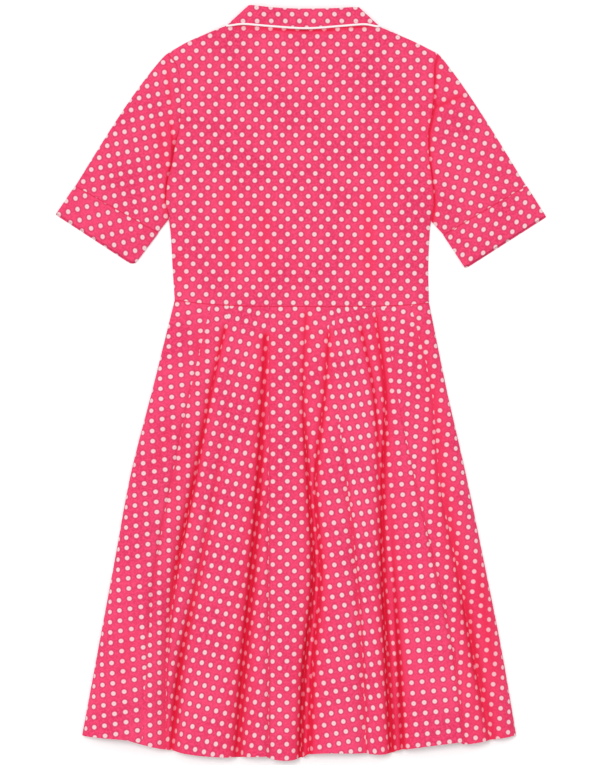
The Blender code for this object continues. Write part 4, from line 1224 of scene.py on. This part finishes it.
def threads(name, starts, ends, radius):
    """Threads between pairs of points: spindles that taper at both ends."""
    share, swell = np.array(SPINDLE).T
    spine = starts[:, None] + (ends - starts)[:, None] * share[:, None]
    circle = rings(ends - starts, THREAD_SIDES).swapaxes(0, 1)
    points = spine[:, :, None] + circle[:, None] * (swell * radius)[None, :, None, None]
    count = len(SPINDLE) * THREAD_SIDES
    ring = np.arange(count).reshape(len(SPINDLE), THREAD_SIDES)
    after = np.roll(ring, -1, axis=1)
    sides = np.stack([ring[:-1], after[:-1], after[1:], ring[1:]], axis=-1).reshape(-1, 4)
    caps = np.stack([ring[0, ::-1], ring[-1]])
    first = np.arange(len(starts))[:, None, None] * count
    faces = [face for kind in (sides, caps)
             for face in (first + kind).reshape(-1, kind.shape[1]).tolist()]
    mesh = bpy.data.meshes.new(name)
    mesh.from_pydata((points.reshape(-1, 3) * MM).tolist(), [], faces)
    mesh.polygons.foreach_set("use_smooth", np.ones(len(mesh.polygons), bool))
    dressed(mesh, sewing_thread(), "cotton")


def stitches(name, line, length, gap, radius):
    """Row of machine stitches on a line, end to end with a gap between."""
    places = travelled(line)
    count = int((places[-1] - gap) // (length + gap))
    starts = (np.arange(count) + 0.5) * places[-1] / count - length / 2
    ends = [np.stack([np.interp(at, places, line[:, k]) for k in range(3)], axis=-1)
            for at in (starts, starts + length)]
    threads(name, *ends, radius)


def button_mesh(name, centre):
    """Turned disc with a raised rim, a dished middle and four sewing holes."""
    profile_steps, turn_steps = BUTTON_STEPS
    fine = along(BUTTON_PROFILE, profile_steps) * (BUTTON_RADIUS, BUTTON_THICKNESS)
    turn = np.linspace(0, 2 * math.pi, turn_steps, endpoint=False)[:, None]
    x, y = fine[:, 0] * np.cos(turn), fine[:, 0] * np.sin(turn)
    z = np.broadcast_to(fine[:, 1], x.shape).copy()
    for sx in (-1, 1):
        for sy in (-1, 1):
            away = np.hypot(x - sx * HOLE_OFFSET, y - sy * HOLE_OFFSET) / HOLE_RADIUS
            inward = np.sign(BUTTON_THICKNESS / 2 - z)
            z += inward * HOLE_DEPTH * np.exp(-away**HOLE_SHARPNESS)
    points = np.stack([x + centre[0], y + centre[1], z], axis=-1)
    blank = corner_values(np.zeros((*x.shape, 2)), looped=True)
    return grid_mesh(name, points, blank, looped=True)


# ==== operators ===========================================================================

FLOOR_HALF = 4.0           # half the floor's width, in metres
FLOOR_DROP = 0.0003        # how far it lies below the dress, in metres
WINDOW_PLACE = (-0.5, 0.6, 2.0)  # the light shines from here towards the origin, in metres
CAMERA_PLACE = (-0.0007, 0.0006)  # x and y of the camera, in metres
VIEW_REACH = 50.0          # how far the camera sees, in metres
SENSOR_WIDTH = 36.0        # in millimetres, as the lens
FRAME_ROWS = 765           # rows of the rendered frame
ROW_SIZE = 1.48            # height on the floor that a row shows, in millimetres


def edge_height():
    """Height at which back and front meet: two walls and a hair's gap."""
    return 2 * bpy.context.scene.dress_cloth.wall / MM + HAIR_GAP


class DRESS_OT_back(Operator):
    """Sew the plain back of the bodice"""
    bl_idname = "dress.back"
    bl_label = "Back"

    def execute(self, context):
        points, marks = back_surface(edge_height())
        cloth("back_panel", points, "bodice", marks=marks)
        return {"FINISHED"}


class DRESS_OT_fronts(Operator):
    """Sew the two lapped fronts, which lie underneath"""
    bl_idname = "dress.fronts"
    bl_label = "Fronts"

    def execute(self, context):
        for side in SIDES:
            cloth("front_panel_" + side, front_surface(side), "bodice", flip=side == "left")
        return {"FINISHED"}


class DRESS_OT_sleeves(Operator):
    """Sew the two laid sleeves and their cuffs"""
    bl_idname = "dress.sleeves"
    bl_label = "Sleeves and cuffs"

    def execute(self, context):
        for side in SIDES:
            for part, surface in (("sleeve", sleeve_surface), ("cuff", cuff_surface)):
                points, top_marks = surface(side)
                marks = np.zeros((*points.shape[:2], len(MARKS)))
                marks[:len(top_marks)] = top_marks
                cloth(part + "_cloth_" + side, points, part + "_" + side, looped=True,
                      flip=side == "right", marks=marks)
        return {"FINISHED"}


class DRESS_OT_collar(Operator):
    """Turn the collar down over the back and pipe its edge"""
    bl_idname = "dress.collar"
    bl_label = "Collar and piping"

    def execute(self, context):
        cloth("collar_cloth", collar_surface(), "collar", doubled=True)
        radius = context.scene.dress_trim.piping_radius / MM
        points = cord_surface(piping_path(radius), radius, PIPING_SIDES)
        ring, count = points.shape[:2]
        once_round, to_next = PIPING_TWILL
        twill = np.meshgrid(np.arange(ring) / ring * once_round, np.arange(count) * to_next,
                            indexing="ij")
        lie = corner_values(np.stack(twill, axis=-1), looped=True)
        dressed(grid_mesh("collar_piping_cord", points, lie, looped=True), corded_white(),
                "piping", "collar_piping")
        return {"FINISHED"}


class DRESS_OT_skirt(Operator):
    """Lay the folded back of the skirt over its flat front"""
    bl_idname = "dress.skirt"
    bl_label = "Skirt"

    def execute(self, context):
        points, marks, numbers = skirt_back_surface(edge_height())
        rows, columns = points.shape[:2]
        lie = np.zeros((rows - 1, columns - 1, 4, 4))
        for first, last in SKIRT_STRIPS:
            start, end = numbers[first], numbers[last]
            strip = points[start:end + 1]
            values = laid_print(strip, first + "-" + last, unrolled(strip))
            lie[start:end] = corner_values(values, flip=True)
        cloth("skirt_back_cloth", points, lie, flip=True, marks=marks)
        cloth("skirt_front_cloth", skirt_front_surface(), "centre_left-c")
        return {"FINISHED"}


class DRESS_OT_buttons(Operator):
    """Set the row of shell buttons on the front opening"""
    bl_idname = "dress.buttons"
    bl_label = "Buttons"

    def execute(self, context):
        material = shell_button()
        for number, y in enumerate(BUTTON_ROWS, start=1):
            mesh = button_mesh("shell_button_%d" % number, (CENTRE, y))
            dressed(mesh, material, "button", "button_%d" % number)
        return {"FINISHED"}


class DRESS_OT_stitching(Operator):
    """Run the rows of machine stitches beside the seams"""
    bl_idname = "dress.stitching"
    bl_label = "Stitching"

    def execute(self, context):
        trim = context.scene.dress_trim
        sizes = [trim.stitch / MM, trim.stitch_gap / MM, trim.thread_radius / MM]
        step = CUFF_STITCH_STEP
        for side in SIDES:
            row = cuff_surface(side)[0][step:ACROSS_STEPS + 1 - step, step]
            stitches("cuff_stitches_" + side, row + (0, 0, STITCH_RISE), *sizes)
        step = COLLAR_STITCH_STEP
        row = collar_surface()[step:-step, -step] + (0, 0, COLLAR_WALL / 2)
        stitches("collar_stitches", row[row[:, 2] > BACK_LAYER], *sizes)
        radius = trim.thread_radius / MM
        corners = np.array([(-1, -1), (1, -1)]) * HOLE_OFFSET
        middles = np.array([(CENTRE, y) for y in BUTTON_ROWS for _ in corners], float)
        offsets = np.tile(corners, (BUTTON_COUNT, 1))
        ends = [lift(middles + way * offsets, BUTTON_DISH - radius / 2) for way in (1, -1)]
        threads("button_threads", *ends, radius)
        return {"FINISHED"}


class DRESS_OT_stage(Operator):
    """Set the pale floor, the soft light and the camera straight above"""
    bl_idname = "dress.stage"
    bl_label = "Stage"

    def execute(self, context):
        stage = context.scene.dress_stage
        corners = [(x * FLOOR_HALF, y * FLOOR_HALF, -FLOOR_DROP)
                   for x, y in ((-1, -1), (1, -1), (1, 1), (-1, 1))]
        mesh = bpy.data.meshes.new("floor")
        mesh.from_pydata(corners, [], [(0, 1, 2, 3)])
        mesh.materials.append(pale_floor())
        link("floor", mesh)

        world = bpy.data.worlds.new("soft_room")
        world.use_nodes = True
        plug(world.node_tree, world.node_tree.nodes["Background"],
             {"Color": (1.0, 1.0, 1.0, 1.0), "Strength": stage.fill})
        context.scene.world = world

        light = bpy.data.lights.new("window", "SUN")
        light.angle = stage.key_spread
        light.energy = stage.key
        lamp = link("window", light)
        lamp.location = WINDOW_PLACE
        lamp.rotation_euler = (-lamp.location).to_track_quat("-Z", "Y").to_euler()

        data = bpy.data.cameras.new("above")
        data.lens = stage.lens
        data.sensor_width = SENSOR_WIDTH
        data.clip_end = VIEW_REACH
        camera = link("above", data)
        frame_length = FRAME_ROWS * ROW_SIZE * MM
        camera.location = (*CAMERA_PLACE, frame_length / data.sensor_width * data.lens)
        context.scene.camera = camera
        context.scene.view_settings.view_transform = "Standard"
        return {"FINISHED"}


# ==== settings, panel and registration ====================================================

def amount(name, description, default, **limits):
    """Setting that is a number, and at least 0 where no other limit is given."""
    return FloatProperty(name=name, description=description, default=default,
                         **{"min": 0.0, **limits})


def measure(name, description, default):
    """Setting that is a length in metres."""
    return amount(name, description, default, unit="LENGTH", precision=5)


def dye(name, description, default):
    """Setting that is a colour."""
    return FloatVectorProperty(name=name, description=description, default=default, size=3,
                               min=0.0, max=1.0, subtype="COLOR")


class DRESS_PG_cloth(PropertyGroup):
    wall: measure("Wall", "Thickness of the shown cotton", 0.0006)


class DRESS_PG_print(PropertyGroup):
    scale: amount("Scale", "Size of the print's repeat against the cut's", 1.0, min=0.2, max=5.0)
    dot: measure("Dot", "Diameter of a dot", 0.0064)
    dot_edge: measure("Dot edge", "Width over which a dot fades out", 0.0024)
    dot_core: measure("Dot core", "Radius at which a dot's darker core has faded out", 0.0018)
    thread: measure("Thread", "Spacing of the woven threads", 0.0005)
    rim: amount("Rim", "Strength of the deeper rim round a dot", 0.9, max=1.0)
    rim_width: measure("Rim width", "Width over which a dot's deeper rim fades out", 0.0018)
    # strength of the painted shadow along the seams
    seam: amount("Seam", "Strength of the deep line at a seam", 0.7, max=1.0)
    pink: dye("Pink", "Ground colour", (0.81, 0.058, 0.157))
    pink_deep: dye("Deep pink", "Ground colour where the yarn lies low", (0.62, 0.028, 0.10))
    pink_bright: dye("Bright pink", "Ground colour where the dye is thinner", (0.85, 0.075, 0.18))
    pink_rim: dye("Rim pink", "Ground colour beside a dot", (0.56, 0.035, 0.115))
    # painted shade: the ground's colours in creases and grooves, and at the heart of deep creases
    pink_crease_shade: dye("Crease pink", "Ground colour in a crease", (0.765, 0.026, 0.082))
    pink_crease_core_shade: dye("Heart pink", "Ground colour at the heart of a deep crease", (0.685, 0.011, 0.048))
    # colour of the painted shadow along a seam
    pink_seam_shadow: dye("Seam pink", "Colour at a seam", (0.66, 0.016, 0.060))
    cream: dye("Cream", "Colour of a dot", (0.85, 0.57, 0.59))
    cream_core: dye("Cream core", "Colour in a dot's middle", (0.62, 0.53, 0.51))
    # painted shade: the dots' colours in creases and grooves, and at the heart of deep creases
    cream_crease_shade: dye("Crease cream", "Colour of a dot in a crease", (0.80, 0.37, 0.42))
    cream_crease_core_shade: dye("Heart cream", "Colour of a dot at the heart of a deep crease", (0.76, 0.21, 0.28))


class DRESS_PG_trim(PropertyGroup):
    piping_radius: measure("Piping radius", "Radius of the collar's piping", 0.0016)
    stitch: measure("Stitch", "Length of one stitch", 0.0022)
    stitch_gap: measure("Stitch gap", "Gap between two stitches", 0.0006)
    thread_radius: measure("Thread radius", "Radius of the sewing thread", 0.00016)
    piping: dye("Piping", "Colour of the piping", (0.89, 0.82, 0.825))
    piping_shade: dye("Piping shade", "Colour in the piping's hollows", (0.82, 0.73, 0.74))
    thread: dye("Sewing thread", "Colour of the stitches", (0.77, 0.042, 0.12))
    thread_shade: dye("Thread shade", "Colour between the thread's strands", (0.66, 0.027, 0.09))
    button: dye("Button", "Colour of the buttons", (0.76, 0.70, 0.66))
    button_cloud: dye("Button cloud", "Colour of the clouds in the buttons", (0.83, 0.75, 0.71))


class DRESS_PG_stage(PropertyGroup):
    floor: dye("Floor", "Colour of the floor", (0.935, 0.935, 0.935))
    floor_cloud: dye("Floor cloud", "Colour of the floor's faint clouds", (0.925, 0.925, 0.928))
    fill: amount("Fill", "Brightness of the room", 0.90)
    key: amount("Key", "Strength of the light from the window", 1.12)
    key_spread: amount("Key spread", "Width of the window as an angle", 0.35, subtype="ANGLE")
    lens: amount("Lens", "Focal length in millimetres", 150.0, min=50.0)


SEWING = (DRESS_OT_back, DRESS_OT_fronts, DRESS_OT_sleeves, DRESS_OT_collar, DRESS_OT_skirt,
          DRESS_OT_buttons, DRESS_OT_stitching, DRESS_OT_stage)
GROUPS = {"dress_cloth": DRESS_PG_cloth, "dress_print": DRESS_PG_print,
          "dress_trim": DRESS_PG_trim, "dress_stage": DRESS_PG_stage}


class DRESS_PT_sidebar(Panel):
    """Settings and steps of the dress"""
    bl_label = "Laid shirt dress"
    bl_idname = "DRESS_PT_sidebar"
    bl_space_type = "VIEW_3D"
    bl_region_type = "UI"
    bl_category = "Dress"

    def draw(self, context):
        for name, group in GROUPS.items():
            box = self.layout.box()
            for setting in group.__annotations__:
                box.prop(getattr(context.scene, name), setting)
        for step in SEWING:
            self.layout.operator(step.bl_idname)


def register():
    """Registers the classes and gives the scene each group of settings."""
    for kind in (*GROUPS.values(), *SEWING, DRESS_PT_sidebar):
        bpy.utils.register_class(kind)
    for name, group in GROUPS.items():
        setattr(bpy.types.Scene, name, PointerProperty(type=group))


def unregister():
    """Takes back what register gave."""
    for name in GROUPS:
        delattr(bpy.types.Scene, name)
    for kind in reversed((*GROUPS.values(), *SEWING, DRESS_PT_sidebar)):
        bpy.utils.unregister_class(kind)


def clear_default_scene():
    """Removes the start-up cube, lamp and camera, and nothing of the imported model."""
    for item in list(bpy.context.scene.objects):
        if item.name in ("Cube", "Light", "Camera"):
            bpy.data.objects.remove(item, do_unlink=True)


def main():
    clear_default_scene()
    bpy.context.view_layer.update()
    register()
    for step in SEWING:
        getattr(bpy.ops.dress, step.bl_idname.removeprefix("dress."))()
    bpy.context.view_layer.update()


if __name__ == "__main__":
    main()
